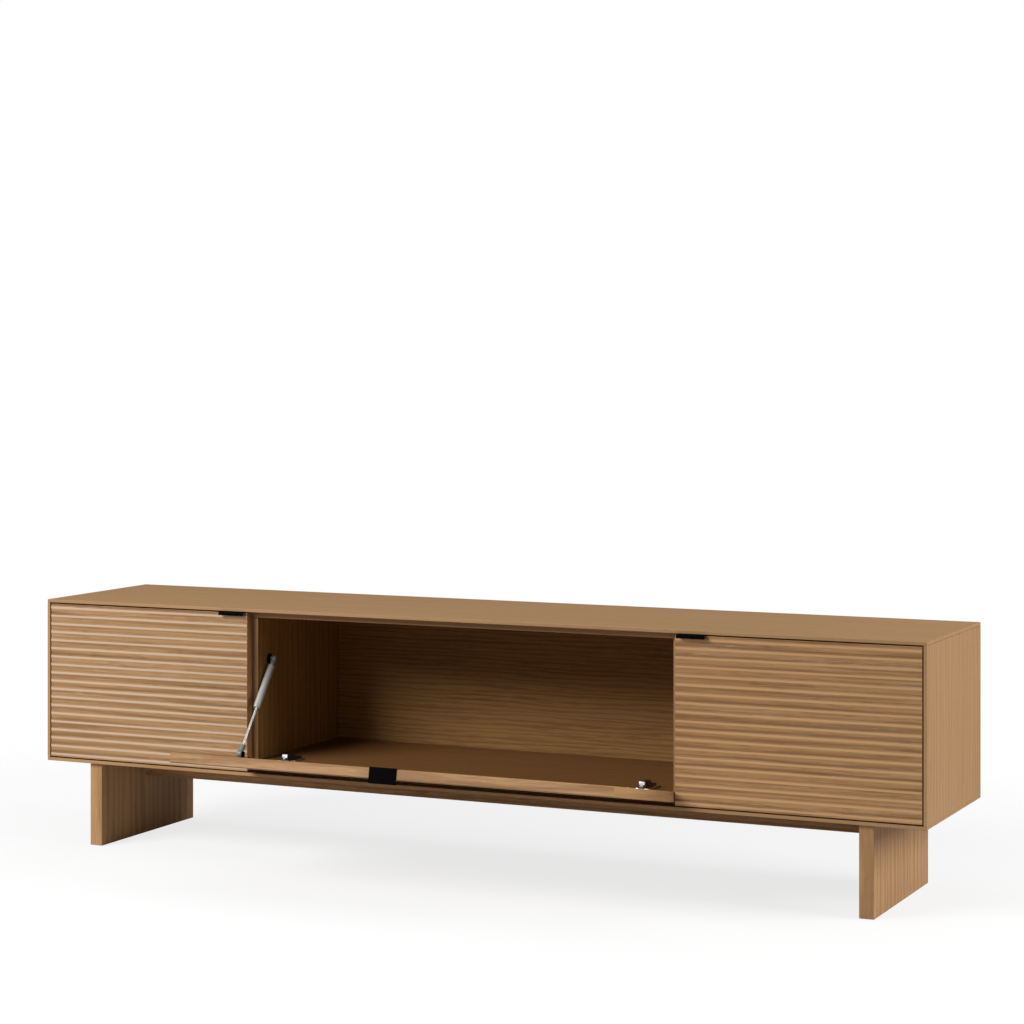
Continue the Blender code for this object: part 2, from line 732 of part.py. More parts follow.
def make_case_bracket(head):
    """A round plate on the divider, with a boss that ends just beside the strut's head."""
    wall = -BAY_X + TOUCH - STRUT_X
    boss = -FITTING_HALF - 2 * TOUCH - wall
    profile = [
        (0, boss),
        (BOSS_RADIUS - BEVEL, boss),
        (BOSS_RADIUS, boss - BEVEL),
        (BOSS_RADIUS, DISC_THICKNESS),
        (DISC_RADIUS - BEVEL, DISC_THICKNESS),
        (DISC_RADIUS, DISC_THICKNESS - BEVEL),
        (DISC_RADIUS, 0),
        (0, 0),
    ]
    mesh = turned_mesh("strut_case_bracket", profile, (wall, 0, 0), (1, 0, 0), sides=32)
    add_part("strut_case_bracket", mesh, "black_metal", CASE, head)


def make_flap_bracket(flap):
    """A plate on the flap's inner face, an ear, and the stud through the strut's foot."""
    name = "strut_flap_bracket"
    face = flap["face"] + TOUCH
    foot_up = STRUT_FOOT_FROM_EDGE - flap["edge"]
    foot_in = flap["face"] + STRUT_FOOT_HEIGHT
    near = STRUT_X + FITTING_HALF + 2 * TOUCH
    half = FOOT_PLATE_LENGTH / 2
    plate_low = (near, face, foot_up - half)
    plate_high = (near + FOOT_PLATE_WIDTH, face + FOOT_PLATE_THICKNESS, foot_up + half)
    plate = box_mesh(name, plate_low, plate_high)
    bracket = add_part(name, plate, "black_metal", flap["moving"])
    half = EAR_LENGTH / 2
    ear_low = (near, face + FOOT_PLATE_THICKNESS / 4, foot_up - half)
    ear_high = (near + EAR_THICKNESS, foot_in + EAR_PAST_STUD, foot_up + half)
    boolean(bracket, box_mesh(name + "_ear", ear_low, ear_high), "UNION")
    stud_end = (STRUT_X - FITTING_HALF - 2 * TOUCH, foot_in, foot_up)
    stud_start = (near + EAR_THICKNESS / 2, foot_in, foot_up)
    stud = bar_mesh(name + "_stud", stud_start, stud_end, STUD_RADIUS)
    boolean(bracket, stud, "UNION")


# ---------------------------------------------------------------- stand


def make_stand():
    mid_y = CASE_DEPTH / 2
    top = CASE_BOTTOM - TOUCH
    for side_name, side in (("left", -1), ("right", 1)):
        x = side * LEG_X
        half = LEG_THICKNESS / 2
        low = (x - half, LEG_SETBACK, GLIDE_PROUD)
        high = (x + half, LEG_SETBACK + LEG_DEPTH, top)
        name = side_name + "_leg"
        leg = add_part(name, box_mesh(name, low, high), "oak", CASE)
        for end_name, y in (
            ("front", LEG_SETBACK + GLIDE_FROM_END),
            ("back", CASE_DEPTH - LEG_SETBACK - GLIDE_FROM_END),
        ):
            socket = bar_mesh(
                name + "_socket",
                (x, y, GLIDE_PROUD - 0.001),
                (x, y, GLIDE_THICKNESS + PLAY),
                GLIDE_RADIUS + PLAY,
            )
            boolean(leg, socket, "DIFFERENCE")
            glide = f"{side_name}_glide_{end_name}"
            mesh = bar_mesh(glide, (x, y, 0), (x, y, GLIDE_THICKNESS), GLIDE_RADIUS)
            add_part(glide, mesh, "nylon", CASE)
        round_edges(leg)
    reach = LEG_X - LEG_THICKNESS / 2 - TOUCH
    low = (-reach, mid_y - RAIL_THICKNESS / 2, top - RAIL_HEIGHT)
    high = (reach, mid_y + RAIL_THICKNESS / 2, top)
    round_edges(add_part("centre_rail", box_mesh("centre_rail", low, high), "oak", CASE))


# ---------------------------------------------------------------- build

clear_scene()
PARTS = new_collection("media_cabinet")
CUTTERS = new_collection("media_cabinet_cutters", hidden=True)
PAINT = {name: make_material(name) for name in MATERIALS}
CASE = make_empty("cabinet_origin", (0, MODEL_SHIFT_Y, 0))

make_top_and_bottom()
make_sides()
make_dividers()
make_back()
make_shelves()
make_stand()

DOOR_MIDDLE = (DOOR_TOP + DOOR_BOTTOM) / 2
HINGE_REACH = DOOR_HEIGHT / 2 - DOOR_HINGE_FROM_END
SIDE_AXIS_X = DOOR_OUTER_X - SIDE_AXIS_FROM_EDGE
SIDE_FACE = DOOR_BOARD - SIDE_AXIS_FROM_FACE

FLAP = new_leaf(
    "flap",
    pivot=(0, FLAP_AXIS_FROM_FACE, DOOR_BOTTOM + FLAP_AXIS_FROM_EDGE),
    edge=FLAP_AXIS_FROM_EDGE,
    face=DOOR_BOARD - FLAP_AXIS_FROM_FACE,
    axis=(1, 0, 0),
    along=(0, 0, 1),
    hinges=(FLAP_HINGE_FROM_DIVIDER - BAY_X, BAY_X - FLAP_HINGE_FROM_DIVIDER),
    travel=FLAP_OPEN,
    open_angle=FLAP_OPEN,
)
LEFT = new_leaf(
    "left_door",
    pivot=(-SIDE_AXIS_X, SIDE_AXIS_FROM_FACE, DOOR_MIDDLE),
    edge=SIDE_AXIS_FROM_EDGE,
    face=SIDE_FACE,
    axis=(0, 0, -1),
    along=(1, 0, 0),
    hinges=(HINGE_REACH, -HINGE_REACH),
    travel=math.radians(DOOR_OPEN_DEG),
    open_angle=0,
)
RIGHT = new_leaf(
    "right_door",
    pivot=(SIDE_AXIS_X, SIDE_AXIS_FROM_FACE, DOOR_MIDDLE),
    edge=SIDE_AXIS_FROM_EDGE,
    face=SIDE_FACE,
    axis=(0, 0, 1),
    along=(-1, 0, 0),
    hinges=(-HINGE_REACH, HINGE_REACH),
    travel=math.radians(DOOR_OPEN_DEG),
    open_angle=0,
)
make_leaf("flap_door", -FLAP_HALF, FLAP_HALF, FLAP)
make_leaf("left_door", -DOOR_OUTER_X, -DOOR_INNER_X, LEFT)
make_leaf("right_door", DOOR_INNER_X, DOOR_OUTER_X, RIGHT)
make_pull("flap_pull", 0, FLAP)
make_pull("left_pull", -DOOR_INNER_X - PULL_FROM_EDGE - PULL_WIDTH / 2, LEFT)
make_pull("right_pull", DOOR_INNER_X + PULL_FROM_EDGE + PULL_WIDTH / 2, RIGHT)

FLOOR_ABOVE_AXIS = FLOOR_Z - (DOOR_BOTTOM + FLAP_AXIS_FROM_EDGE)
SIDE_BESIDE_AXIS = SIDE_AXIS_X - SIDE_INNER_X
make_hinges("flap", ("left", "right"), FLAP, FLOOR_ABOVE_AXIS)
make_hinges("left_door", ("lower", "upper"), LEFT, SIDE_BESIDE_AXIS)
make_hinges("right_door", ("lower", "upper"), RIGHT, SIDE_BESIDE_AXIS)
make_strut(FLAP)
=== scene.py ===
# %% [markdown]
# # An oak media cabinet
# A long, low cabinet on two slab legs. Its side doors and its drop-down flap are milled with
# level ribs, and the flap hangs on one gas strut. The moving frame is already made, so this
# lesson gives it its surface: real ribs, pressed-steel hinges, a painted strut, and oak.

# %% Load the frame
import json
import math

import bmesh
import bpy
from mathutils import Matrix, Vector


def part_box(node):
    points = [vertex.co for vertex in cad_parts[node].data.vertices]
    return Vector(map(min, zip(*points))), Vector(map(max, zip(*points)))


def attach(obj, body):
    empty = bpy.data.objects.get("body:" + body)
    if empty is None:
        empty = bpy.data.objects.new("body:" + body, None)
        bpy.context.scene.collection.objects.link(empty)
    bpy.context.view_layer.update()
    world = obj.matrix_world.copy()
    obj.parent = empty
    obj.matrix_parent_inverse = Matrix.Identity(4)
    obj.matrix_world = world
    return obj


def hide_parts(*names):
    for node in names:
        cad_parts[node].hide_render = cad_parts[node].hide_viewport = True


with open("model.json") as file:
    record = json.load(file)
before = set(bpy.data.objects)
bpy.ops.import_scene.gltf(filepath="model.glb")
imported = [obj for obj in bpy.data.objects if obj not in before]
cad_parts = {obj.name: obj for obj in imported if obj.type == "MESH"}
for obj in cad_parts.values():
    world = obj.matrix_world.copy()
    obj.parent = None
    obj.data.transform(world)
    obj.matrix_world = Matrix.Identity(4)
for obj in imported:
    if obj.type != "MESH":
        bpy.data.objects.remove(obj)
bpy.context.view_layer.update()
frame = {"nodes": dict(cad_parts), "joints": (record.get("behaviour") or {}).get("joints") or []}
NODES = frame["nodes"]
JOINTS = {joint["name"]: joint for joint in frame["joints"]}

# %% [markdown]
# ## Where things are
# Every place in this lesson is read from the frame. The flap is built closed, like the side
# doors, because a level board is far easier to shape than a tilted one, and is then turned
# open about its own hinge. The hinge's place and its travel come from the joint.

# %% Places and the flap's turn
FLAP_PIVOT = Vector(JOINTS["flap_hinge"]["pos_m"])
FLAP_OPEN = math.radians(JOINTS["flap_hinge"]["range_deg"][1])
STILL = Matrix.Identity(4)
TURN_OPEN = (
    Matrix.Translation(FLAP_PIVOT)
    @ Matrix.Rotation(FLAP_OPEN, 4, "X")
    @ Matrix.Translation(-FLAP_PIVOT)
)
HALF_OPEN = (
    Matrix.Translation(FLAP_PIVOT)
    @ Matrix.Rotation(FLAP_OPEN / 2, 4, "X")
    @ Matrix.Translation(-FLAP_PIVOT)
)


def turned_box(node, turn):
    """A CAD node's lowest and highest corners after a turn."""
    points = [turn @ vertex.co for vertex in NODES[node].data.vertices]
    low = Vector([min(point[i] for point in points) for i in range(3)])
    high = Vector([max(point[i] for point in points) for i in range(3)])
    return low, high


flap_low, flap_high = turned_box("flap_door", TURN_OPEN.inverted())
print("flap, closed:", [round(value, 4) for value in (*flap_low, *flap_high)])

# %% [markdown]
# ## Materials are small machines
# A material here is a chain of nodes, and these helpers keep the chains short: the first adds a
# node and fills in its sockets, the second starts a material with its Principled shader, and
# the others turn a grey value into a colour or into another grey value.

# %% Node helpers
def add_node(tree, kind, values=None, **settings):
    """A node with its settings and unlinked socket values, or links from other sockets."""
    node = tree.nodes.new("ShaderNode" + kind)
    for key, value in settings.items():
        setattr(node, key, value)
    for socket, value in (values or {}).items():
        if isinstance(value, bpy.types.NodeSocket):
            tree.links.new(value, node.inputs[socket])
        else:
            node.inputs[socket].default_value = value
    return node


def start_material(name, slot, **sockets):
    material = bpy.data.materials.new(name)
    material.use_nodes = True
    material["slot"] = slot
    shader = material.node_tree.nodes["Principled BSDF"]
    for socket, value in sockets.items():
        shader.inputs[socket.replace("_", " ").title().replace("Ior", "IOR")].default_value = value
    return material, material.node_tree, shader


def ramp(tree, source, stops):
    """A colour ramp through (place, colour) stops."""
    node = add_node(tree, "ValToRGB", {"Fac": source})
    elements = node.color_ramp.elements
    while len(elements) < len(stops):
        elements.new(0.5)
    for element, (place, colour) in zip(elements, stops):
        element.position = place
        element.color = (*colour, 1)
    return node.outputs["Color"]


def grey_ramp(tree, source, low, high):
    """0 below low, 1 above high, and a straight slope between them."""
    return add_node(
        tree,
        "MapRange",
        {"Value": source, "From Min": low, "From Max": high},
    ).outputs["Result"]


def mix_colours(tree, factor, first, second, blend="MIX"):
    node = add_node(tree, "Mix", data_type="RGBA", blend_type=blend)
    for socket, value in zip((node.inputs[0], node.inputs[6], node.inputs[7]), (factor, first, second)):
        if isinstance(value, bpy.types.NodeSocket):
            tree.links.new(value, socket)
        else:
            socket.default_value = value
    return node.outputs[2]


def calculate(tree, operation, first, second=0.0):
    return add_node(tree, "Math", {0: first, 1: second}, operation=operation).outputs[0]


print("node helpers ready")

# %% [markdown]
# ## Patterns that stay the size of the wood
# Every pattern reads Object coordinates. They are metres on the real piece, so a grain line is
# as wide here as it is on wood. A first Mapping node turns them to the board's own grain, and a
# second one stretches them, because a pore is long and narrow and a plain noise is round.

# %% Coordinates, noise and bump
def object_coordinates(tree, place=STILL, scale=(1, 1, 1)):
    """Object coordinates after a turn and shift, then stretched."""
    source = add_node(tree, "TexCoord").outputs["Object"]
    moved = add_node(
        tree,
        "Mapping",
        {"Vector": source, "Location": place.to_translation(), "Rotation": place.to_euler()},
    )
    return add_node(tree, "Mapping", {"Vector": moved.outputs[0], "Scale": scale}).outputs[0]


def stretched_noise(tree, place, scale, detail=3.0, roughness=0.55, distortion=0.0):
    """A noise whose scale differs along the three axes; returns its grey value."""
    vector = object_coordinates(tree, place, scale)
    values = {"Vector": vector, "Scale": 1.0, "Detail": detail, "Roughness": roughness}
    return add_node(tree, "TexNoise", {**values, "Distortion": distortion}).outputs["Fac"]


def connect_bump(tree, shader, height, distance, strength=1.0):
    values = {"Height": height, "Distance": distance, "Strength": strength}
    bump = add_node(tree, "Bump", values)
    tree.links.new(bump.outputs["Normal"], shader.inputs["Normal"])


print("pattern helpers ready")

# %% [markdown]
# ## Oak
# Oak shows three things at once: slow waves of light and dark where the blade crossed the
# year rings, thousands of short dark pores along the grain, and a pale haze where lacquer or
# lime stayed in the open grain. One function makes all of them, in a frame where X is the
# grain and Z runs across it, and each board turns that frame to its own grain. First come the
# three directions of grain and the two kinds of mark: short dashes and year rings.

# %% Grain directions and marks
GRAIN_X_UPRIGHT = STILL  # grain along X on an upright face
GRAIN_X_FLAT = Matrix.Rotation(math.radians(90), 4, "X")  # grain along X on a level face
GRAIN_Z = Matrix(((0, 0, 1, 0), (1, 0, 0, 0), (0, 1, 0, 0), (0, 0, 0, 1)))  # upright grain


def threshold_noise(tree, place, scale, low, high, gather, gather_low, gather_high):
    """Short marks from a stretched noise, gathered in patches by a broader one."""
    marks = grey_ramp(tree, stretched_noise(tree, place, scale, detail=3, roughness=0.6), low, high)
    patch = grey_ramp(tree, stretched_noise(tree, place, gather, detail=3), gather_low, gather_high)
    return calculate(tree, "MULTIPLY", marks, patch)


def year_rings(tree, place, sawn):
    """Narrow dark lines where the board crosses its year rings."""
    values = {"Scale": 1.1 * sawn, "Distortion": 9.0, "Detail": 3.0}
    values |= {"Detail Scale": 1.1, "Detail Roughness": 0.62}
    values["Vector"] = object_coordinates(tree, place, (0.7, 9, 9))
    wave = add_node(tree, "TexWave", values, bands_direction="Z").outputs["Fac"]
    return grey_ramp(tree, wave, 0.45, 0.95)


print("grain directions: 3")

# %% [markdown]
# The marks are laid over a light tone one after another, from the broadest to the finest. The
# boards were sawn in different ways: top, floor and sides are quiet straight grain, while the
# back, the rail, the legs and the doors are livelier, so the strengths are set board by board.

# %% Oak
PORE_SHARES = (0.50, 0.42, 0.34)  # of the dark tone's red, green and blue
LIME = (0.56, 0.50, 0.42)


def make_oak(name, slot, place, tones, rings=0.5, streaks=0.5, flecks=0.0, sawn=1.0, shade=None):
    """tones are (light, dark); rings, streaks and flecks are strengths between 0 and 1."""
    light, dark = tones
    material, tree, shader = start_material(name, slot, specular_ior_level=0.18)
    lines = stretched_noise(tree, place, (2.0, 210, 210), detail=4, roughness=0.7)
    broad = stretched_noise(tree, place, (0.6, 7, 7), detail=3)
    ring = calculate(tree, "MULTIPLY", year_rings(tree, place, sawn), lines)
    ring = calculate(tree, "MULTIPLY", ring, 1.5 * rings)
    tone = mix_colours(tree, calculate(tree, "MULTIPLY", broad, 0.55), (*light, 1), (*dark, 1))
    fine = calculate(tree, "MULTIPLY", grey_ramp(tree, lines, 0.40, 0.66), 0.45 * rings + 0.1)
    tone = mix_colours(tree, fine, tone, (*dark, 1))
    deep = tuple(value * share for value, share in zip(dark, PORE_SHARES))
    tone = mix_colours(tree, ring, tone, (*deep, 1))
    streak = threshold_noise(tree, place, (22, 600, 600), 0.50, 0.64, (2.6, 30, 30), 0.34, 0.62)
    tone = mix_colours(tree, calculate(tree, "MULTIPLY", streak, streaks), tone, (*deep, 1))
    pore = threshold_noise(tree, place, (30, 1300, 1300), 0.55, 0.70, (3, 40, 40), 0.30, 0.60)
    tone = mix_colours(tree, calculate(tree, "MULTIPLY", pore, 0.6), tone, (*deep, 1))
    if flecks:
        haze = threshold_noise(tree, place, (20, 560, 560), 0.52, 0.68, (2.4, 40, 40), 0.44, 0.64)
        haze = calculate(tree, "MULTIPLY", haze, flecks)
        tone = mix_colours(tree, haze, tone, (*LIME, 1))
    if shade:
        tone = shade(tree, tone)
    tree.links.new(tone, shader.inputs["Base Color"])
    rough = add_node(tree, "MapRange", {"Value": lines, "To Min": 0.48, "To Max": 0.66})
    tree.links.new(rough.outputs["Result"], shader.inputs["Roughness"])
    relief = calculate(tree, "SUBTRACT", calculate(tree, "MULTIPLY", lines, 0.35), pore)
    connect_bump(tree, shader, relief, distance=0.00010)
    return material


QUIET = ((0.335, 0.196, 0.092), (0.275, 0.153, 0.068))
LIVELY = ((0.395, 0.221, 0.095), (0.285, 0.145, 0.055))
WARM = ((0.400, 0.232, 0.106), (0.286, 0.151, 0.063))

oak_top = make_oak("oak_top", "oak", GRAIN_X_FLAT, QUIET, 0.15, 0.10)
oak_side = make_oak("oak_side", "oak", GRAIN_Z, QUIET, 0.30, 0.12, sawn=1.5)
oak_rail = make_oak("oak_rail", "oak", GRAIN_X_UPRIGHT, LIVELY, 0.6, 0.7, sawn=2.2)
oak_leg = make_oak("oak_leg", "oak", GRAIN_Z, WARM, 0.5, 0.3, flecks=0.1, sawn=1.3)
print("oak:", oak_top.name, oak_side.name, oak_rail.name, oak_leg.name)

# %% [markdown]
# The inside of the case is darkened with painted shade, where the open bay falls dark, and the
# painted shade stops at the front edges of the boards. One mask finds the inside: it lies behind
# the boards' front edges and above the floor board's underside. The same oak is multiplied by a
# darker tint there, and each board has its own strength of painted shade.

# %% Oak with painted shade inside
INSIDE_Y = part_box("left_divider")[0].y + 0.0008
INSIDE_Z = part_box("bottom_panel")[0].z + 0.010


def shade_inside(*shade_tint):
    """A shade for make_oak that multiplies the inside by a darker tint, as painted shade."""

    def shade(tree, tone):
        axes = add_node(tree, "SeparateXYZ", {"Vector": object_coordinates(tree)})
        behind = calculate(tree, "GREATER_THAN", axes.outputs["Y"], INSIDE_Y)
        above = calculate(tree, "GREATER_THAN", axes.outputs["Z"], INSIDE_Z)
        inside = calculate(tree, "MULTIPLY", behind, above)
        darkened = mix_colours(tree, 1.0, tone, (*shade_tint, 1), "MULTIPLY")
        return mix_colours(tree, inside, tone, darkened)

    return shade


# Painted shade: each tint darkens one board's inside, where the open bay falls dark.
floor_shade = shade_inside(0.54, 0.43, 0.28)
divider_shade = shade_inside(0.98, 0.92, 0.60)
back_shade = shade_inside(0.80, 0.77, 0.57)
oak_floor = make_oak("oak_floor", "oak", GRAIN_X_FLAT, QUIET, 0.25, 0.2, shade=floor_shade)
oak_divider = make_oak("oak_divider", "oak", GRAIN_Z, QUIET, 0.5, 0.3, sawn=1.5, shade=divider_shade)
oak_back = make_oak("oak_back", "oak", GRAIN_X_UPRIGHT, LIVELY, 0.6, 0.6, sawn=3.0, shade=back_shade)
print("stained inside from y =", round(INSIDE_Y, 4))

# %% [markdown]
# ## Paint the boards
# The case boards already have their right shape in the frame, with softened edges, so they
# keep it and only take their oak. Assigning to the first material slot is all that it takes.

# %% Boards, shelves, legs and rail
BOARDS = {
    "top_panel": oak_top,
    "bottom_panel": oak_floor,
    "left_shelf": oak_floor,
    "right_shelf": oak_floor,
    "left_side_panel": oak_side,
    "right_side_panel": oak_side,
    "left_divider": oak_divider,
    "right_divider": oak_divider,
    "back_panel": oak_back,
    "left_leg": oak_leg,
    "right_leg": oak_leg,
    "centre_rail": oak_rail,
}


def paint(node, material):
    slots = NODES[node].data.materials
    slots.clear()
    slots.append(material)


for node, material in BOARDS.items():
    paint(node, material)
print("boards painted:", len(BOARDS))

# %% [markdown]
# ## Building pieces
# Every new piece is made in metres where it belongs, with its object left at the origin. A
# finished bmesh is handed to its body in the frame, which then carries it when a joint moves,
# and the CAD nodes it stands for are hidden; its finish already carries its slot.

# %% Finishing a piece
def finish_piece(name, bm, material, body, nodes, turn=STILL, smooth=True):
    """Turn a bmesh into an object that stands for its CAD nodes."""
    bmesh.ops.transform(bm, matrix=turn, verts=bm.verts)
    bmesh.ops.recalc_face_normals(bm, faces=bm.faces)
    mesh = bpy.data.meshes.new(name)
    bm.to_mesh(mesh)
    bm.free()
    mesh.materials.append(material)
    piece = bpy.data.objects.new(name, mesh)
    bpy.context.scene.collection.objects.link(piece)
    if smooth:
        mesh.shade_smooth()
        mesh.set_sharp_from_angle(angle=math.radians(35))
    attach(piece, body)
    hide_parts(*nodes)
    return piece


print("finishing helper ready")

# %% [markdown]
# Three shapes make nearly all the pieces: a box with rounded edges, a profile spun about an
# axis like work on a lathe, and a flat outline pushed through like sheet from a press.

# %% Boxes, turned shapes and sections
def add_box(bm, low, high, bevel=0.0, segments=2):
    """A closed box between two corners, with rounded edges if bevel is given."""
    low, high = Vector(low), Vector(high)
    place = Matrix.Translation((low + high) / 2) @ Matrix.Diagonal((*(high - low), 1))
    made = bmesh.ops.create_cube(bm, size=1, matrix=place)["verts"]
    if bevel:
        edges = {edge for vertex in made for edge in vertex.link_edges}
        settings = {"segments": segments, "profile": 0.5, "material": -1, "affect": "EDGES"}
        bmesh.ops.bevel(bm, geom=list(edges), offset=bevel, **settings)


def add_turned(bm, profile, start, axis, steps=40):
    """Spin (radius, height) points about an axis through start. The ends lie on the axis."""
    turn = Vector(axis).to_track_quat("Z", "Y").to_matrix().to_4x4()
    place = Matrix.Translation(start) @ turn
    points = [bm.verts.new(place @ Vector((radius, 0, height))) for radius, height in profile]
    edges = [bm.edges.new(pair) for pair in zip(points, points[1:])]
    bmesh.ops.spin(
        bm,
        geom=points + edges,
        cent=Vector(start),
        axis=Vector(axis).normalized(),
        angle=math.tau,
        steps=steps,
        use_merge=True,
    )
    bmesh.ops.remove_doubles(bm, verts=bm.verts, dist=1e-6)


def add_section(bm, outline, half_width, place):
    """Push a flat outline of (across, up) points through from -half_width to half_width."""
    ring = [bm.verts.new(place @ Vector((across, up, -half_width))) for across, up in outline]
    face = bm.faces.new(ring)
    pushed = bmesh.ops.extrude_face_region(bm, geom=[face], use_keep_orig=True)["geom"]
    moved = [item for item in pushed if isinstance(item, bmesh.types.BMVert)]
    shift = place.to_3x3() @ Vector((0, 0, 2 * half_width))
    bmesh.ops.translate(bm, vec=shift, verts=moved)


SECTION_ALONG_X = Matrix(((0, 0, 1, 0), (1, 0, 0, 0), (0, 1, 0, 0), (0, 0, 0, 1)))
print("shape helpers ready")

# %% [markdown]
# ## The ribbed doors
# A moulding cutter run along the board leaves each rib: a rounded nose that steps out of the
# groove above it and then falls back gently to the next one. One section is enough for a whole
# door, because every rib runs the full width, so the section is drawn once and pushed along X.
# The flap and both side doors share it.

# %% Rib section
DOOR_LOW, DOOR_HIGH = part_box("left_door")
DOOR_FRONT, DOOR_INNER = DOOR_LOW.y, DOOR_HIGH.y
DOOR_BOTTOM, DOOR_TOP = DOOR_LOW.z, DOOR_HIGH.z
RIB_PITCH = 0.01887
RIB_DEPTH = 0.0017
RIB_NOSE = 0.0052
FIRST_RIB = 0.0026
EDGE_SOFTENING = 0.0006


def rib_recess(drop):
    """Depth behind the crests at a distance below the door's top edge."""
    place = (drop - FIRST_RIB) % RIB_PITCH
    if place < RIB_NOSE:
        return RIB_DEPTH * (1 - math.sqrt(1 - (1 - place / RIB_NOSE) ** 2))
    return RIB_DEPTH * (place - RIB_NOSE) / (RIB_PITCH - RIB_NOSE)


def door_section():
    """(depth from the front, height) points round the whole door."""
    nose = [RIB_NOSE * (1 - math.cos(math.radians(turn))) for turn in range(0, 91, 15)]
    slope = [RIB_NOSE + (RIB_PITCH - RIB_NOSE) * part / 7 for part in range(1, 7)]
    height = DOOR_TOP - DOOR_BOTTOM
    drops = [EDGE_SOFTENING]
    rib = FIRST_RIB
    while rib < height:
        drops += [rib - 2e-5] + [rib + place for place in nose + slope]
        rib += RIB_PITCH
    drops = [drop for drop in drops if EDGE_SOFTENING <= drop < height - EDGE_SOFTENING - 3e-4]
    drops.append(height - EDGE_SOFTENING)
    front = [(DOOR_FRONT + 1e-5 + rib_recess(drop), DOOR_TOP - drop) for drop in drops]
    inner, soft = DOOR_INNER, EDGE_SOFTENING
    ending = front[-1][0] + soft
    back = [(ending, DOOR_BOTTOM), (inner - soft, DOOR_BOTTOM), (inner, DOOR_BOTTOM + soft)]
    back += [(inner, DOOR_TOP - soft), (inner - soft, DOOR_TOP), (front[0][0] + soft, DOOR_TOP)]
    return front + back


print("points in the door's section:", len(door_section()))

# %% [markdown]
# ## Oak that knows its ribs
# The doors take the same oak, with one more layer of painted light: a painted highlight along
# each crest and painted shade in each groove, so the colour follows the height within a rib.
# That height is the fractional part of the distance below the top edge. The left door's
# painted crest highlight is paler and stronger than the right door's, as the light falls from the left.

# %% Ribbed oak
def paint_rib_light(tree, tone, place, highlight_tone, highlight_share):
    """Paint a highlight on crests and shade in grooves on the front, by the place within a rib."""
    vector = object_coordinates(tree, place)
    axes = add_node(tree, "SeparateXYZ", {"Vector": vector})
    drop = calculate(tree, "SUBTRACT", DOOR_TOP - FIRST_RIB, axes.outputs["Z"])
    within = calculate(tree, "FRACT", calculate(tree, "DIVIDE", drop, RIB_PITCH))
    on_front = calculate(tree, "LESS_THAN", axes.outputs["Y"], DOOR_FRONT + RIB_DEPTH + 0.001)
    # Painted shade in the groove and a painted highlight on the crest, by the place within a rib.
    stops = [
        (0.00, (0.66, 0.66, 0.66)),
        (0.12, (0.76, 0.76, 0.76)),
        (0.19, (0.95, 0.95, 0.95)),
        (0.27, (1.00, 1.00, 1.00)),
        (0.42, (1.00, 1.00, 1.00)),
        (0.54, (0.92, 0.92, 0.92)),
        (0.92, (0.94, 0.94, 0.94)),
        (1.00, (0.66, 0.66, 0.66)),
    ]
    light = ramp(tree, within, stops)
    highlight_mask = calculate(tree, "MULTIPLY", grey_ramp(tree, light, 0.94, 1.0), on_front)
    darker = mix_colours(tree, on_front, (1, 1, 1, 1), light)
    shaded = mix_colours(tree, 1.0, tone, darker, "MULTIPLY")
    return mix_colours(tree, calculate(tree, "MULTIPLY", highlight_mask, highlight_share), shaded, highlight_tone)


def make_ribbed_oak(name, turn, tones, highlight_tone, highlight_share):
    back_to_closed = turn.inverted()

    def shade(tree, tone):
        return paint_rib_light(tree, tone, back_to_closed, (*highlight_tone, 1), highlight_share)

    strengths = {"rings": 0.6, "streaks": 0.5, "flecks": 0.25, "sawn": 1.4}
    return make_oak(name, "oak_ribbed", back_to_closed, tones, **strengths, shade=shade)


def make_edge_oak(name, turn):
    """Oak for a board's ends, with its grain running up the closed board."""
    return make_oak(name, "oak_ribbed", GRAIN_Z @ turn.inverted(), WARM, 0.3, 0.2)


# Painted crest highlights; the left door's is paler, as the light falls from the left.
PALE_HIGHLIGHT, TAN_HIGHLIGHT = (0.46, 0.340, 0.245), (0.47, 0.272, 0.128)
oak_left = make_ribbed_oak("oak_ribbed_left", STILL, WARM, PALE_HIGHLIGHT, 0.90)
oak_right = make_ribbed_oak("oak_ribbed_right", STILL, LIVELY, TAN_HIGHLIGHT, 0.80)
oak_flap = make_ribbed_oak("oak_ribbed_flap", TURN_OPEN, WARM, TAN_HIGHLIGHT, 0.80)
edge_still = make_edge_oak("oak_door_end", STILL)
edge_flap = make_edge_oak("oak_flap_end", TURN_OPEN)
print("ribbed oak:", oak_left.name, oak_right.name, oak_flap.name)

# %% [markdown]
# ## Cup bores
# Each door hangs on concealed hinges, whose pressed cups are sunk into round bores. The bore
# is the reason for the Boolean below: a closed cylinder, slightly wider than the cup, is taken
# out of the finished board, and the cylinder is then thrown away.

# %% Cup places and bores
CUP_RADIUS = 0.0172
BORE_CLEARANCE = 0.0003
PAST_INNER_FACE = 0.002
CUP_PLACES = {}
for node in NODES:
    if "_hinge_cup_" in node:
        leaf_turn = TURN_OPEN.inverted() if node.startswith("flap") else STILL
        low, high = turned_box(node, leaf_turn)
        CUP_PLACES[node] = (low, high)


def cup_centre(node):
    """A cup's middle, on the door's inner face, with the door closed."""
    low, high = CUP_PLACES[node]
    middle = (low + high) / 2
    middle.y = DOOR_INNER
    return middle


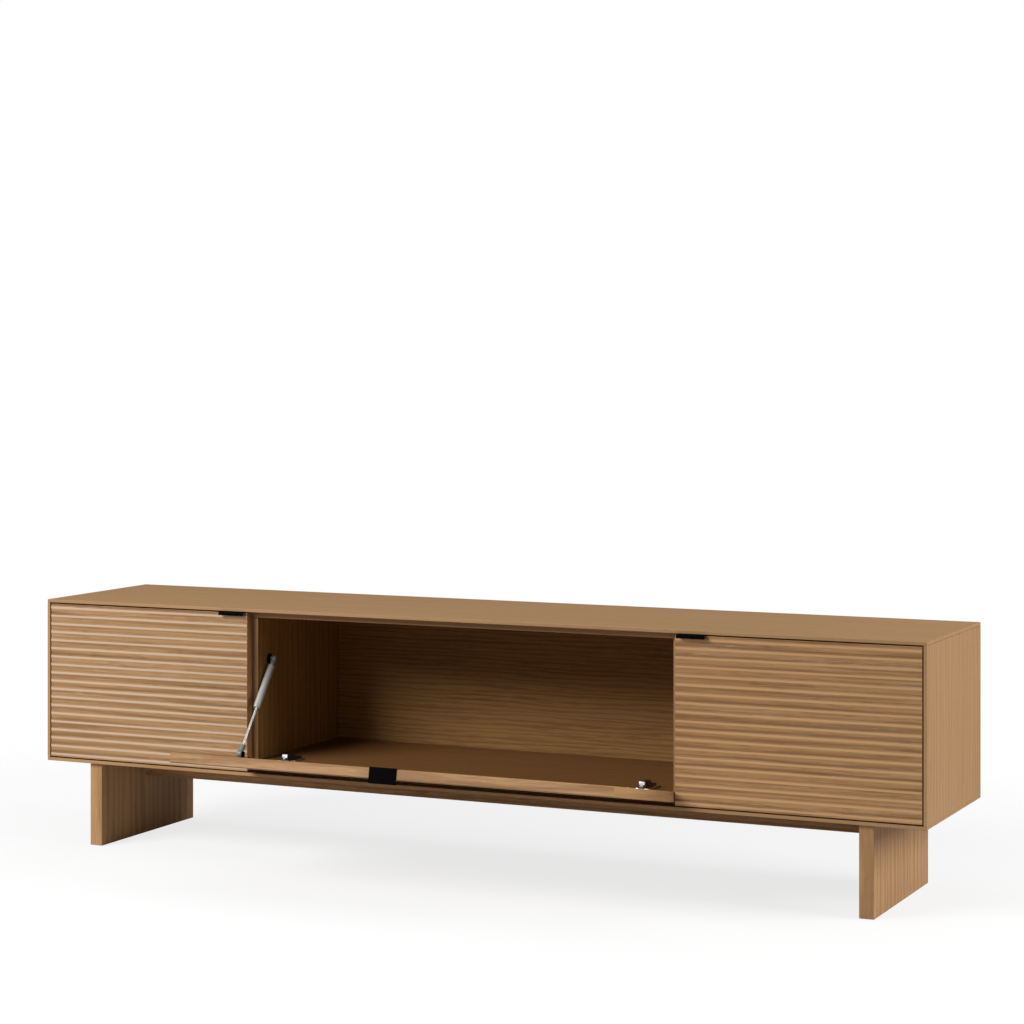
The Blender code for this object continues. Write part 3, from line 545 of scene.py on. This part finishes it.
def cut_bore(piece, cutter_bm):
    """Subtract a closed bmesh from a piece, and keep the result as its mesh."""
    mesh = bpy.data.meshes.new("bore")
    cutter_bm.to_mesh(mesh)
    cutter_bm.free()
    cutter = bpy.data.objects.new("bore", mesh)
    bpy.context.scene.collection.objects.link(cutter)
    modifier = piece.modifiers.new("bore", "BOOLEAN")
    modifier.object = cutter
    modifier.operation = "DIFFERENCE"
    modifier.solver = "EXACT"
    bpy.context.view_layer.update()
    evaluated = piece.evaluated_get(bpy.context.evaluated_depsgraph_get())
    cut = bpy.data.meshes.new_from_object(evaluated)
    piece.modifiers.remove(modifier)
    piece.data = cut
    bpy.data.objects.remove(cutter)


print("cups:", len(CUP_PLACES))

# %% [markdown]
# A door is its section pushed along X, bored for its cups. Its two ends then take their own
# oak, because a lipping glued to the end of a board has its grain running up the board.

# %% Ribbed doors
def make_door(node, low_x, high_x, material, edge_oak, body, turn=STILL):
    bm = bmesh.new()
    place = Matrix.Translation(((low_x + high_x) / 2, 0, 0)) @ SECTION_ALONG_X
    add_section(bm, door_section(), (high_x - low_x) / 2, place)
    door = finish_piece(node + "_board", bm, material, body, [node])
    for cup, (low, _) in CUP_PLACES.items():
        if not cup.startswith(node.replace("_door", "")):
            continue
        cutter_bm = bmesh.new()
        centre = cup_centre(cup)
        centre.y = (low.y + DOOR_INNER + PAST_INNER_FACE) / 2 - 0.0002
        depth = DOOR_INNER + PAST_INNER_FACE - low.y
        turn_y = Matrix.Rotation(math.radians(90), 4, "X")
        bmesh.ops.create_cone(
            cutter_bm,
            cap_ends=True,
            segments=64,
            radius1=CUP_RADIUS + BORE_CLEARANCE,
            radius2=CUP_RADIUS + BORE_CLEARANCE,
            depth=depth,
            matrix=Matrix.Translation(centre) @ turn_y,
        )
        cut_bore(door, cutter_bm)
    door.data.materials.append(edge_oak)
    for face in door.data.polygons:
        to_end = min(abs(face.center.x - low_x), abs(face.center.x - high_x))
        face.material_index = int(to_end < 1e-5)
    door.data.transform(turn)
    door.data.shade_smooth()
    door.data.set_sharp_from_angle(angle=math.radians(35))
    return door


LEFT_LOW, LEFT_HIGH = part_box("left_door")
RIGHT_LOW, RIGHT_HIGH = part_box("right_door")
left_board = make_door("left_door", LEFT_LOW.x, LEFT_HIGH.x, oak_left, edge_still, "left_door")
make_door("right_door", RIGHT_LOW.x, RIGHT_HIGH.x, oak_right, edge_still, "right_door")
flap_board = make_door("flap_door", flap_low.x, flap_high.x, oak_flap, edge_flap, "flap", TURN_OPEN)
print("door polygons:", len(left_board.data.polygons), len(flap_board.data.polygons))

# %% [markdown]
# ## Metal, paint and plastic
# The handles are folded steel with a fine black powder coat, the hinges are nickel-plated
# pressings with darker arms, and the strut has a painted tube, a polished rod and moulded
# ends. Each material gets one cause of unevenness: powder coat has a fine orange-peel bump,
# nickel shows faint rolling streaks, and plastic has a soft mottle. The shelf pins and the
# glides keep their shape from the frame and only take their finish.

# %% Small materials
def make_simple(name, slot, dark, light, scale, bump, **sockets):
    """A material whose tone wanders between dark and light, with a fine bump."""
    material, tree, shader = start_material(name, slot, **sockets)
    tone = stretched_noise(tree, STILL, scale, detail=3)
    colours = ramp(tree, tone, [(0.3, dark), (0.7, light)])
    tree.links.new(colours, shader.inputs["Base Color"])
    connect_bump(tree, shader, tone, distance=bump)
    return material


black_metal = make_simple(
    "black_metal", "black_metal", (0.0008, 0.0008, 0.0008), (0.0016, 0.0016, 0.0016),
    (900, 900, 900), 0.00003,
    roughness=0.85, specular_ior_level=0.03,
)
nickel = make_simple(
    "nickel", "nickel", (0.58, 0.56, 0.53), (0.68, 0.66, 0.63), (30, 260, 260), 0.00001,
    metallic=1.0, roughness=0.28,
)
# Nickel made paler and less metallic than the rest, as a painted highlight on the damper caps.
satin_nickel = make_simple(
    "satin_nickel", "nickel", (0.74, 0.74, 0.72), (0.82, 0.82, 0.80), (60, 60, 60), 0.00001,
    metallic=0.55, roughness=0.42,
)
dark_nickel = make_simple(
    "dark_nickel", "nickel", (0.05, 0.05, 0.05), (0.09, 0.09, 0.09), (30, 260, 260), 0.00001,
    metallic=0.9, roughness=0.30,
)
grey_paint = make_simple(
    "grey_paint", "grey_paint", (0.38, 0.38, 0.36), (0.43, 0.43, 0.41), (40, 40, 40), 0.000005,
    metallic=0.3, roughness=0.35, coat_weight=0.2,
)
steel = make_simple(
    "polished_steel", "polished_steel", (0.70, 0.70, 0.70), (0.76, 0.76, 0.76), (6, 6, 6), 0.000002,
    metallic=0.9, roughness=0.30,
)
grey_plastic = make_simple(
    "grey_plastic", "grey_plastic", (0.13, 0.15, 0.13), (0.17, 0.19, 0.165), (200, 200, 200), 0.00003,
    roughness=0.45,
)
nylon = make_simple(
    "nylon", "nylon", (0.045, 0.045, 0.045), (0.06, 0.06, 0.06), (300, 300, 300), 0.00005,
    roughness=0.6,
)
GENERAL = {"pin": nickel, "glide": nylon}
for node in NODES:
    for word, material in GENERAL.items():
        if f"_{word}_" in node:
            paint(node, material)
print("small materials:", 8)

# %% [markdown]
# ## Folded handles
# A handle is one strip of sheet: a short lip outside, a bend, a flat over the door's top edge,
# another bend and a long flange inside. The strip is drawn as a centre line with round corners
# and thickened square to that line.

# %% Handles
def round_corners(points, radius, steps=5):
    """Replace every inner corner of a path with a short arc, by a quadratic curve."""
    path = [Vector(points[0])]
    for before, corner, after in zip(points, points[1:], points[2:]):
        corner, before, after = Vector(corner), Vector(before), Vector(after)
        start = corner + (before - corner).normalized() * radius
        end = corner + (after - corner).normalized() * radius
        for i in range(steps + 1):
            part = i / steps
            path.append(start.lerp(corner, part).lerp(corner.lerp(end, part), part))
    return path + [Vector(points[-1])]


def thicken(path, thickness):
    """The outline of a strip, half a thickness to each side of its path."""
    sides = ([], [])
    for i, point in enumerate(path):
        along = (path[min(i + 1, len(path) - 1)] - path[max(i - 1, 0)]).normalized()
        across = Vector((-along.y, along.x)) * (thickness / 2)
        sides[0].append(point + across)
        sides[1].append(point - across)
    return sides[0] + sides[1][::-1]


HANDLE_SHEET = 0.0015
LIP_HEIGHT = 0.006
SHEET_BEND = 0.0016


def make_handle(node, body, turn=STILL):
    low, high = turned_box(node, turn.inverted())
    half = HANDLE_SHEET / 2
    lip = DOOR_TOP - LIP_HEIGHT
    corners = [
        (low.y + half, lip),
        (low.y + half, high.z - half),
        (high.y - half, high.z - half),
        (high.y - half, low.z),
    ]
    path = round_corners(corners, SHEET_BEND)
    bm = bmesh.new()
    place = Matrix.Translation(((low.x + high.x) / 2, 0, 0)) @ SECTION_ALONG_X
    add_section(bm, thicken(path, HANDLE_SHEET), (high.x - low.x) / 2, place)
    ends = [edge for edge in bm.edges if abs(edge.verts[0].co.x - edge.verts[1].co.x) < 1e-6]
    bmesh.ops.bevel(bm, geom=ends, offset=0.00025, segments=2, profile=0.5, material=-1, affect="EDGES")
    finish_piece(node + "_sheet", bm, black_metal, body, [node], turn)


make_handle("left_pull", "left_door")
make_handle("right_pull", "right_door")
make_handle("flap_pull", "flap", TURN_OPEN)
print("handles: 3")

# %% [markdown]
# ## Screws
# One screw head is made once and used everywhere: a low dome with a cross sunk into it. The
# cross is two small boxes taken away by a Boolean, as a cold-heading punch would press it.

# %% A screw head to copy
def make_screw_head():
    bm = bmesh.new()
    dome = [(0, -0.0004), (1, -0.0004), (1, 0.12), (0.86, 0.30), (0.55, 0.44), (0, 0.50)]
    add_turned(bm, dome, (0, 0, 0), (0, 0, 1), steps=24)
    bmesh.ops.recalc_face_normals(bm, faces=bm.faces)
    mesh = bpy.data.meshes.new("screw_head")
    bm.to_mesh(mesh)
    bm.free()
    head = bpy.data.objects.new("screw_head", mesh)
    bpy.context.scene.collection.objects.link(head)
    cross = bmesh.new()
    add_box(cross, (-0.55, -0.09, 0.22), (0.55, 0.09, 0.8))
    cut_bore(head, cross)
    cross = bmesh.new()
    add_box(cross, (-0.09, -0.55, 0.22), (0.09, 0.55, 0.8))
    cut_bore(head, cross)
    shape = head.data
    bpy.data.objects.remove(head)
    return shape


SCREW_HEAD = make_screw_head()


def add_screw(bm, centre, out, radius=0.0032):
    """A screw head of that radius, standing out of a surface."""
    turn = Vector(out).to_track_quat("Z", "Y").to_matrix().to_4x4()
    place = Matrix.Translation(centre) @ turn @ Matrix.Diagonal((radius, radius, radius, 1))
    screw = bmesh.new()
    screw.from_mesh(SCREW_HEAD)
    bmesh.ops.transform(screw, matrix=place, verts=screw.verts)
    shape = bpy.data.meshes.new("placed_screw")
    screw.to_mesh(shape)
    screw.free()
    bm.from_mesh(shape)
    bpy.data.meshes.remove(shape)


print("screw head polygons:", len(SCREW_HEAD.polygons))

# %% [markdown]
# ## Concealed hinges
# Six hinges of one kind carry the doors: a cup in the door, a curved link, and an arm over a
# mounting plate on the case. They are drawn once in their own frame, where X points into the
# cabinet, Y up the door from its hinged edge and Z along the hinge line, and a matrix lays
# that frame on each hinge.

# %% Hinge frame
HINGE_LINES = {
    "flap": ("flap_hinge", (1, 0, 0), (0, 0, 1)),
    "left_door": ("left_door_hinge", (0, 0, -1), (1, 0, 0)),
    "right_door": ("right_door_hinge", (0, 0, 1), (-1, 0, 0)),
}


def hinge_place(prefix, arm_node):
    """The matrix from a hinge's own frame to the row frame, with the door closed."""
    joint, axis, along = HINGE_LINES[prefix]
    pivot = Vector(JOINTS[joint]["pos_m"])
    low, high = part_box(arm_node)
    offset = ((low + high) / 2 - pivot).dot(Vector(axis))
    turn = Matrix((Vector((0, 1, 0)), Vector(along), Vector(axis))).transposed().to_4x4()
    return Matrix.Translation(pivot + Vector(axis) * offset) @ turn


def local_box(node, place, turn=STILL):
    """A node's corners in the hinge's own frame, with the door closed."""
    return turned_box(node, place.inverted() @ turn.inverted())


print("hinge lines:", list(HINGE_LINES))

# %% [markdown]
# The cup is pressed from thin sheet: a deep round pan with a rolled rim that rests on the door,
# and a wing to each side with a screw. The pan is spun from its profile, and the wings are flat
# boxes let into the rim.

# %% Hinge cups
WALL = 0.0012
WING_HALF = 0.0068
WING_SCREW = 0.0225


def make_hinge_cup(node, place, turn, body):
    low, high = local_box(node, place, turn)
    middle = (low + high) / 2
    rim = high.x - WALL
    deep = rim - low.x
    inside = CUP_RADIUS - WALL
    profile = [
        (0, WALL),
        (inside - 0.003, WALL),
        (inside - 0.0008, WALL + 0.0012),
        (inside, WALL + 0.003),
        (inside, deep - 0.0004),
        (inside + 0.0004, deep + 0.0004),
        (CUP_RADIUS + 0.0010, deep + 0.0008),
        (CUP_RADIUS + 0.0014, deep + 0.0004),
        (CUP_RADIUS - 0.0001, deep),
        (CUP_RADIUS - 0.0001, 0.003),
        (CUP_RADIUS - 0.0009, 0.0009),
        (CUP_RADIUS - 0.003, 0),
        (0, 0),
    ]
    bm = bmesh.new()
    add_turned(bm, profile, (low.x, middle.y, 0), (1, 0, 0), steps=48)
    for side in (-1, 1):
        near, far = side * (CUP_RADIUS - 0.0004), side * high.z
        corners = (min(near, far), max(near, far))
        add_box(
            bm,
            (rim + 0.0001, middle.y - WING_HALF, corners[0]),
            (high.x, middle.y + WING_HALF, corners[1]),
            bevel=0.0005,
        )
        add_screw(bm, (high.x, middle.y, side * WING_SCREW), (1, 0, 0))
    bmesh.ops.transform(bm, matrix=place, verts=bm.verts)
    finish_piece(node + "_pressing", bm, nickel, body, [node], turn)


print("cup wall:", WALL)

# %% [markdown]
# The link is a curved lever that turns half as far as the door. It is an arc about the hinge
# line, with a pin across each end.

# %% Hinge links
LINK_INNER, LINK_OUTER = 0.0168, 0.0200
LINK_FROM_DEG, LINK_SPAN_DEG = 20, 57
LINK_STEPS = 14


def make_hinge_link(node, place, turn, body):
    span = [LINK_SPAN_DEG * step / LINK_STEPS for step in range(LINK_STEPS + 1)]
    turns = [math.radians(LINK_FROM_DEG + part) for part in span]
    middle = (LINK_INNER + LINK_OUTER) / 2
    path = [Vector((middle * math.cos(t), middle * math.sin(t))) for t in turns]
    bm = bmesh.new()
    add_section(bm, thicken(path, LINK_OUTER - LINK_INNER), 0.0029, STILL)
    for end in (path[0], path[-1]):
        pin = [(0, 0), (0.0012, 0), (0.0014, 0.0003), (0.0014, 0.0101), (0.0012, 0.0104), (0, 0.0104)]
        add_turned(bm, pin, (end.x, end.y, -0.0052), (0, 0, 1), steps=16)
    bmesh.ops.transform(bm, matrix=place, verts=bm.verts)
    finish_piece(node + "_lever", bm, nickel, body, [node], turn)


print("link radii:", LINK_INNER, LINK_OUTER)

# %% [markdown]
# The arm is a pressed channel: two side walls with a web over them, cranked down on to the
# mounting plate behind the door. The walls carry the link between them at the nose, and one
# screw through the web fixes the arm to its plate.

# %% Hinge arms
ARM_HEIGHT = 0.005
CRANK = 0.0245
ABOVE_PLATE = 0.0003


def local_under(node, place):
    """The height of the arm's underside at its nose, in the hinge's own frame."""
    back = place.inverted()
    points = [back @ vertex.co for vertex in NODES[node].data.vertices]
    nose = min(point.x for point in points)
    return min(point.y for point in points if point.x < nose + 0.0005)


def make_hinge_arm(node, place):
    low, high = local_box(node, place)
    half = high.z
    nose, back = low.x, high.x
    seat = local_box(node.replace("_arm_", "_plate_"), place)[1].y + ABOVE_PLATE
    under = local_under(node, place)
    top = under + ARM_HEIGHT
    outline = [
        (nose + 0.003, top),
        (nose, top - 0.003),
        (nose, under),
        (CRANK, under),
        (CRANK + 0.003, seat),
        (back, seat),
        (back, seat + 0.003),
        (back - 0.012, seat + ARM_HEIGHT),
        (CRANK + 0.016, seat + ARM_HEIGHT),
        (CRANK + 0.004, top),
    ]
    bm = bmesh.new()
    for side in (-1, 1):
        wall = Matrix.Translation((0, 0, side * (half - 0.0006)))
        add_section(bm, outline, 0.0006, wall)
    web = [
        (0.0215, top - 0.0006),
        (CRANK + 0.004, top - 0.0006),
        (CRANK + 0.016, seat + 0.0044),
        (back - 0.012, seat + 0.0044),
        (back - 0.0006, seat + 0.0026),
    ]
    path = round_corners(web, 0.002)
    add_section(bm, thicken(path, WALL), half - 0.0011, STILL)
    add_screw(bm, (back - 0.018, seat + ARM_HEIGHT, 0), (0, 1, 0), radius=0.0036)
    add_screw(bm, (back - 0.034, seat + ARM_HEIGHT, 0), (0, 1, 0), radius=0.0028)
    bmesh.ops.transform(bm, matrix=place, verts=bm.verts)
    finish_piece(node + "_channel", bm, dark_nickel, "case", [node])


print("arm height:", ARM_HEIGHT)

# %% [markdown]
# A soft-close damper rides on each arm, behind the cup's rim so that it stays clear of the door
# both closed and open. It is a dark housing with a nickel cap towards the door, made pale and half
# metallic as a painted highlight.

# %% Dampers
DAMPER_RISE = 0.0115
DAMPER_END = 0.052
CAP_THICKNESS = 0.0016
HOUSING_SHRINK = 0.0005


def make_damper(arm, place, front):
    """A cap and a housing on an arm, from a distance behind the hinge line."""
    half = local_box(arm, place)[1].z + 0.0002
    under = local_under(arm, place)
    cap_end = front + CAP_THICKNESS
    for name, material, start, end, foot, shrink in (
        ("_cap", satin_nickel, front, cap_end, 0.0006, 0.0),
        ("_damper", dark_nickel, cap_end - 0.0002, DAMPER_END, 0.0042, HOUSING_SHRINK),
    ):
        bm = bmesh.new()
        low = (start, under + foot, shrink - half)
        high = (end, under + DAMPER_RISE - shrink, half - shrink)
        add_box(bm, low, high, bevel=0.0006)
        bmesh.ops.transform(bm, matrix=place, verts=bm.verts)
        finish_piece(arm + name, bm, material, "case", [arm])


print("damper rise:", DAMPER_RISE)

# %% [markdown]
# The mounting plate is a flat bar with two screws, fixed to the case under the arm. With it,
# all the parts of a hinge are there, and one loop makes the six hinges.

# %% Plates, and all six hinges
PLATE_SCREW = 0.0115


def make_hinge_plate(node, place):
    low, high = local_box(node, place)
    bm = bmesh.new()
    middle = (low.x + high.x) / 2
    add_box(bm, low, high, bevel=0.0006)
    for side in (-1, 1):
        add_screw(bm, (middle, high.y, side * PLATE_SCREW), (0, 1, 0))
    bmesh.ops.transform(bm, matrix=place, verts=bm.verts)
    finish_piece(node + "_pressing", bm, nickel, "case", [node])


arms = sorted(node for node in NODES if "_hinge_arm_" in node)
for arm in arms:
    prefix = arm.split("_hinge_arm_")[0]
    turn, half_turn = (TURN_OPEN, HALF_OPEN) if prefix == "flap" else (STILL, STILL)
    links = {"flap": "flap_links", "left_door": "left_links", "right_door": "right_links"}[prefix]
    place = hinge_place(prefix, arm)
    make_hinge_arm(arm, place)
    rim = local_box(arm.replace("_arm_", "_cup_"), place, turn)[1].x
    make_damper(arm, place, rim + 0.0006)
    make_hinge_plate(arm.replace("_arm_", "_plate_"), place)
    make_hinge_cup(arm.replace("_arm_", "_cup_"), place, turn, prefix)
    make_hinge_link(arm.replace("_arm_", "_link_"), place, half_turn, links)
print("hinges:", len(arms))

# %% [markdown]
# ## The gas strut
# One gas strut slows the flap. Its tube hangs by a moulded eye on a round bracket high on the
# divider, and its rod ends in another eye on a stud on the flap. Everything on it is turned
# about one line, from the foot's pivot to the head's.

# %% Strut line
FOOT = Vector(JOINTS["strut_foot_pivot"]["pos_m"])
STRUT_UP = -Vector(JOINTS["strut_slide"]["axis"]).normalized()


def reach_along(node):
    """Where a node starts and ends, measured from the foot's pivot along the strut."""
    reach = [(vertex.co - FOOT).dot(STRUT_UP) for vertex in NODES[node].data.vertices]
    return min(reach), max(reach)


def add_along(bm, points, steps=40):
    """Spin (radius, distance from the foot) points about the strut's line."""
    add_turned(bm, points, FOOT, STRUT_UP, steps)


TUBE_END, TUBE_TOP = reach_along("strut_tube")
ROD_END, ROD_TOP = reach_along("strut_rod")
print("tube from", round(TUBE_END, 4), "to", round(TUBE_TOP, 4))
print("rod from", round(ROD_END, 4), "to", round(ROD_TOP, 4))

# %% [markdown]
# The tube is drawn steel: rolled in over the rod guide at its mouth, closed round at the other
# end, and painted. The mouth is left open, so the rod can slide inside.

# %% Tube and rod
ROD_RADIUS = 0.003


def make_strut_tube():
    radius, bore, guide = 0.0082, ROD_RADIUS + 0.0003, 0.008
    inside = radius - WALL
    bottom, top = TUBE_END, TUBE_TOP
    profile = [
        (bore, bottom + guide),
        (bore, bottom + 0.0004),
        (bore + 0.0004, bottom),
        (radius - 0.0024, bottom),
        (radius - 0.0010, bottom + 0.0006),
        (radius - 0.0006, bottom + 0.0030),
        (radius - 0.0007, bottom + 0.0044),
        (radius, bottom + 0.0052),
        (radius, top - 0.0040),
        (radius - 0.0005, top - 0.0020),
        (radius - 0.0020, top - 0.0004),
        (radius - 0.0034, top),
        (0, top),
    ]
    inner = [(0, top - 0.002), (inside, top - 0.002), (inside, bottom + guide), (bore, bottom + guide)]
    bm = bmesh.new()
    add_along(bm, profile[::-1] + inner[::-1][1:])
    finish_piece("strut_tube_shell", bm, grey_paint, "strut_tube", ["strut_tube"])


def make_strut_rod():
    bm = bmesh.new()
    radius, low, high = ROD_RADIUS, ROD_END, ROD_TOP
    profile = [(0, low), (radius, low), (radius, high - 0.0006), (radius - 0.0006, high), (0, high)]
    add_along(bm, profile, steps=32)
    finish_piece("strut_rod_bar", bm, steel, "strut_rod", ["strut_rod"])


make_strut_tube()
make_strut_rod()
print("strut tube and rod made")

# %% [markdown]
# The moulded ends are an eye across the strut and a ribbed shank along it. The eye carries a
# raised collar on each side, as a moulding tool leaves round a bearing hole.

# %% Moulded ends
EYE_HALF, EYE_RADIUS = 0.0060, 0.0075
SHANK_RADIUS = 0.0064


def add_eye(bm, centre, hole):
    """An eye across the strut; hole is its bore radius."""
    half, radius = EYE_HALF, EYE_RADIUS
    outline = [
        (hole, -half),
        (radius - 0.0012, -half),
        (radius - 0.0010, -half + 0.0006),
        (radius - 0.0004, -half + 0.0008),
        (radius, -half + 0.0014),
        (radius, half - 0.0014),
        (radius - 0.0004, half - 0.0008),
        (radius - 0.0010, half - 0.0006),
        (radius - 0.0012, half),
        (hole, half),
    ]
    if hole:
        outline.append(outline[0])
    add_turned(bm, outline, centre, (1, 0, 0), steps=40)


def add_shank(bm, start, end):
    """A stepped shank with two grip rings, between two distances from the foot."""
    radius = SHANK_RADIUS
    ring = (end - start) / 4
    points = [(0, start), (radius - 0.0006, start)]
    for i in (1, 2):
        middle = start + ring * (i + 0.6)
        points += [
            (radius - 0.0006, middle - 0.0010),
            (radius, middle - 0.0007),
            (radius, middle + 0.0007),
            (radius - 0.0006, middle + 0.0010),
        ]
    points += [(radius - 0.0006, end - 0.0016), (radius, end - 0.0012), (radius, end), (0, end)]
    add_along(bm, points, steps=32)


def make_moulded_end(node, centre, start, end, hole, body):
    bm = bmesh.new()
    add_eye(bm, centre, hole)
    add_shank(bm, start, end)
    finish_piece(node + "_moulding", bm, grey_plastic, body, [node])


foot_end = reach_along("strut_foot_fitting")[1]
head_start, head_end = reach_along("strut_head_fitting")
HEAD = FOOT + STRUT_UP * (head_end - EYE_RADIUS)
head_shank = head_end - EYE_RADIUS - 0.0072
make_moulded_end("strut_foot_fitting", FOOT, 0.0068, foot_end, 0.003, "strut_rod")
make_moulded_end("strut_head_fitting", HEAD, head_start, head_shank, 0.0, "strut_tube")
print("strut ends made, head at", [round(value, 4) for value in HEAD])

# %% [markdown]
# Two brackets hold the strut. The one on the divider is a black disc with a short boss that
# ends at the strut's head. The one on the flap is a bent plate with two screws and a stud.

# %% Brackets
def make_head_bracket():
    low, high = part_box("strut_case_bracket")
    centre = (low + high) / 2
    end = high.x - low.x
    radius = (high.z - low.z) / 2
    profile = [
        (0, 0),
        (radius - 0.0004, 0),
        (radius, 0.0006),
        (radius - 0.0006, 0.0018),
        (radius - 0.0014, 0.0022),
        (0.0072, 0.0022),
        (0.0060, 0.0034),
        (0.0060, end - 0.0008),
        (0.0052, end),
        (0.0024, end),
        (0.0020, end - 0.0006),
        (0, end - 0.0006),
    ]
    bm = bmesh.new()
    add_turned(bm, profile, (low.x, centre.y, centre.z), (1, 0, 0), steps=48)
    finish_piece("strut_head_disc", bm, black_metal, "case", ["strut_case_bracket"])


def make_foot_bracket():
    low, high = turned_box("strut_flap_bracket", TURN_OPEN.inverted())
    stud = TURN_OPEN.inverted() @ FOOT
    ear_x = FOOT.x + EYE_HALF + 0.0006
    bm = bmesh.new()
    add_box(bm, (ear_x, low.y, low.z), (high.x, low.y + 0.0018, high.z), bevel=0.0006)
    add_box(
        bm,
        (ear_x, low.y + 0.0004, stud.z - 0.006),
        (ear_x + 0.0022, high.y, stud.z + 0.006),
        bevel=0.0006,
    )
    length = ear_x + 0.0011 - low.x
    pin = [(0, 0), (0.0021, 0), (0.0025, 0.0004), (0.0025, length), (0, length)]
    add_turned(bm, pin, (low.x, stud.y, stud.z), (1, 0, 0), steps=32)
    screw_x = (ear_x + 0.0022 + high.x) / 2
    for end in (-0.009, 0.009):
        add_screw(bm, (screw_x, low.y + 0.0018, stud.z + end), (0, 1, 0), radius=0.003)
    finish_piece("strut_foot_plate", bm, black_metal, "flap", ["strut_flap_bracket"], TURN_OPEN)


make_head_bracket()
make_foot_bracket()
print("strut brackets made")

# %% [markdown]
# ## The floor
# The floor is a pale level sheet under the cabinet. Its material fades from solid to clear
# with distance, so that the far floor is the plain white of the surroundings. To the camera it
# shines a little by itself, which keeps the shadows as pale as on a lit studio floor.

# %% Floor
bm = bmesh.new()
bmesh.ops.create_grid(bm, x_segments=2, y_segments=2, size=9)
floor_mesh = bpy.data.meshes.new("floor")
bm.to_mesh(floor_mesh)
bm.free()
floor = bpy.data.objects.new("floor", floor_mesh)
bpy.context.scene.collection.objects.link(floor)
floor_material, tree, shader = start_material("floor_paper", "stage", roughness=0.9)
shader.inputs["Specular IOR Level"].default_value = 0.1
paper = stretched_noise(tree, STILL, (60, 60, 60), detail=2)
paper = ramp(tree, paper, [(0, (0.66, 0.66, 0.66)), (1, (0.70, 0.70, 0.70))])
tree.links.new(paper, shader.inputs["Base Color"])
glow = add_node(tree, "Emission", {"Color": (1, 1, 1, 1), "Strength": 0.78})
matte = add_node(tree, "BsdfDiffuse", {"Color": (0.16, 0.16, 0.16, 1)})
seen_floor = add_node(tree, "AddShader", {0: glow.outputs[0], 1: matte.outputs[0]})
seen = add_node(tree, "LightPath").outputs["Is Camera Ray"]
paper = add_node(tree, "MixShader", {0: seen, 1: shader.outputs[0], 2: seen_floor.outputs[0]})
spread = object_coordinates(tree, STILL, (1, 1.25, 1))
distance = add_node(tree, "VectorMath", {0: spread}, operation="LENGTH").outputs["Value"]
reach = {"Value": distance, "From Min": 1.2, "From Max": 2.6}
fade = add_node(tree, "MapRange", reach, interpolation_type="SMOOTHSTEP").outputs["Result"]
clear = add_node(tree, "BsdfTransparent")
blend = add_node(tree, "MixShader", {0: fade, 1: paper.outputs[0], 2: clear.outputs[0]})
tree.links.new(blend.outputs[0], tree.nodes["Material Output"].inputs["Surface"])
floor_mesh.materials.append(floor_material)
print("floor:", len(floor_mesh.polygons), "faces")

# %% [markdown]
# ## Light
# A broad soft light from the left front, a second from the right and a gentle one from above
# shape the ribs. The surroundings look pure white to the camera, but light the piece only a
# little, so that the open bay stays dark.

# %% Lights and surroundings
def add_area_light(name, place, target, size, power):
    light = bpy.data.lights.new(name, "AREA")
    light.shape = "RECTANGLE"
    light.size, light.size_y = size
    light.energy = power
    lamp = bpy.data.objects.new(name, light)
    lamp.location = place
    lamp.rotation_euler = (Vector(target) - Vector(place)).to_track_quat("-Z", "Y").to_euler()
    bpy.context.scene.collection.objects.link(lamp)


add_area_light("key", (-2.2, -3.0, 2.6), (-0.3, 0, 0.4), (2.5, 1.6), 235)
add_area_light("side", (3.4, 0.3, 1.6), (1.0, 0.2, 0.35), (1.6, 1.6), 99)
add_area_light("overhead", (0, 0.4, 3.2), (0, 0.2, 0), (4.0, 2.0), 28)

world = bpy.data.worlds.new("surroundings")
bpy.context.scene.world = world
world.use_nodes = True
tree = world.node_tree
background = tree.nodes["Background"]
background.inputs["Color"].default_value = (1, 1, 1, 1)
seen = add_node(tree, "LightPath").outputs["Is Camera Ray"]
strength = add_node(tree, "MapRange", {"Value": seen, "To Min": 0.18, "To Max": 1.0})
tree.links.new(strength.outputs["Result"], background.inputs["Strength"])
bpy.context.scene.view_settings.view_transform = "Standard"
print("lights: 3")

# %% [markdown]
# ## The view
# The camera is level, above the top, to the right of the cabinet's middle, and looks across it.
# A level camera keeps uprights upright, and the lens is shifted instead of tilted to bring
# the cabinet into the frame.

# %% Camera
camera_data = bpy.data.cameras.new("camera")
camera_data.lens = 91.495
camera_data.shift_x = 0.013313
camera_data.shift_y = -0.161460
camera = bpy.data.objects.new("camera", camera_data)
camera.location = (2.46257, -5.10027, 1.15447)
camera.rotation_euler = (math.radians(90), 0, math.radians(24.961))
bpy.context.scene.collection.objects.link(camera)
bpy.context.scene.camera = camera
print("camera lens:", camera_data.lens, "mm")
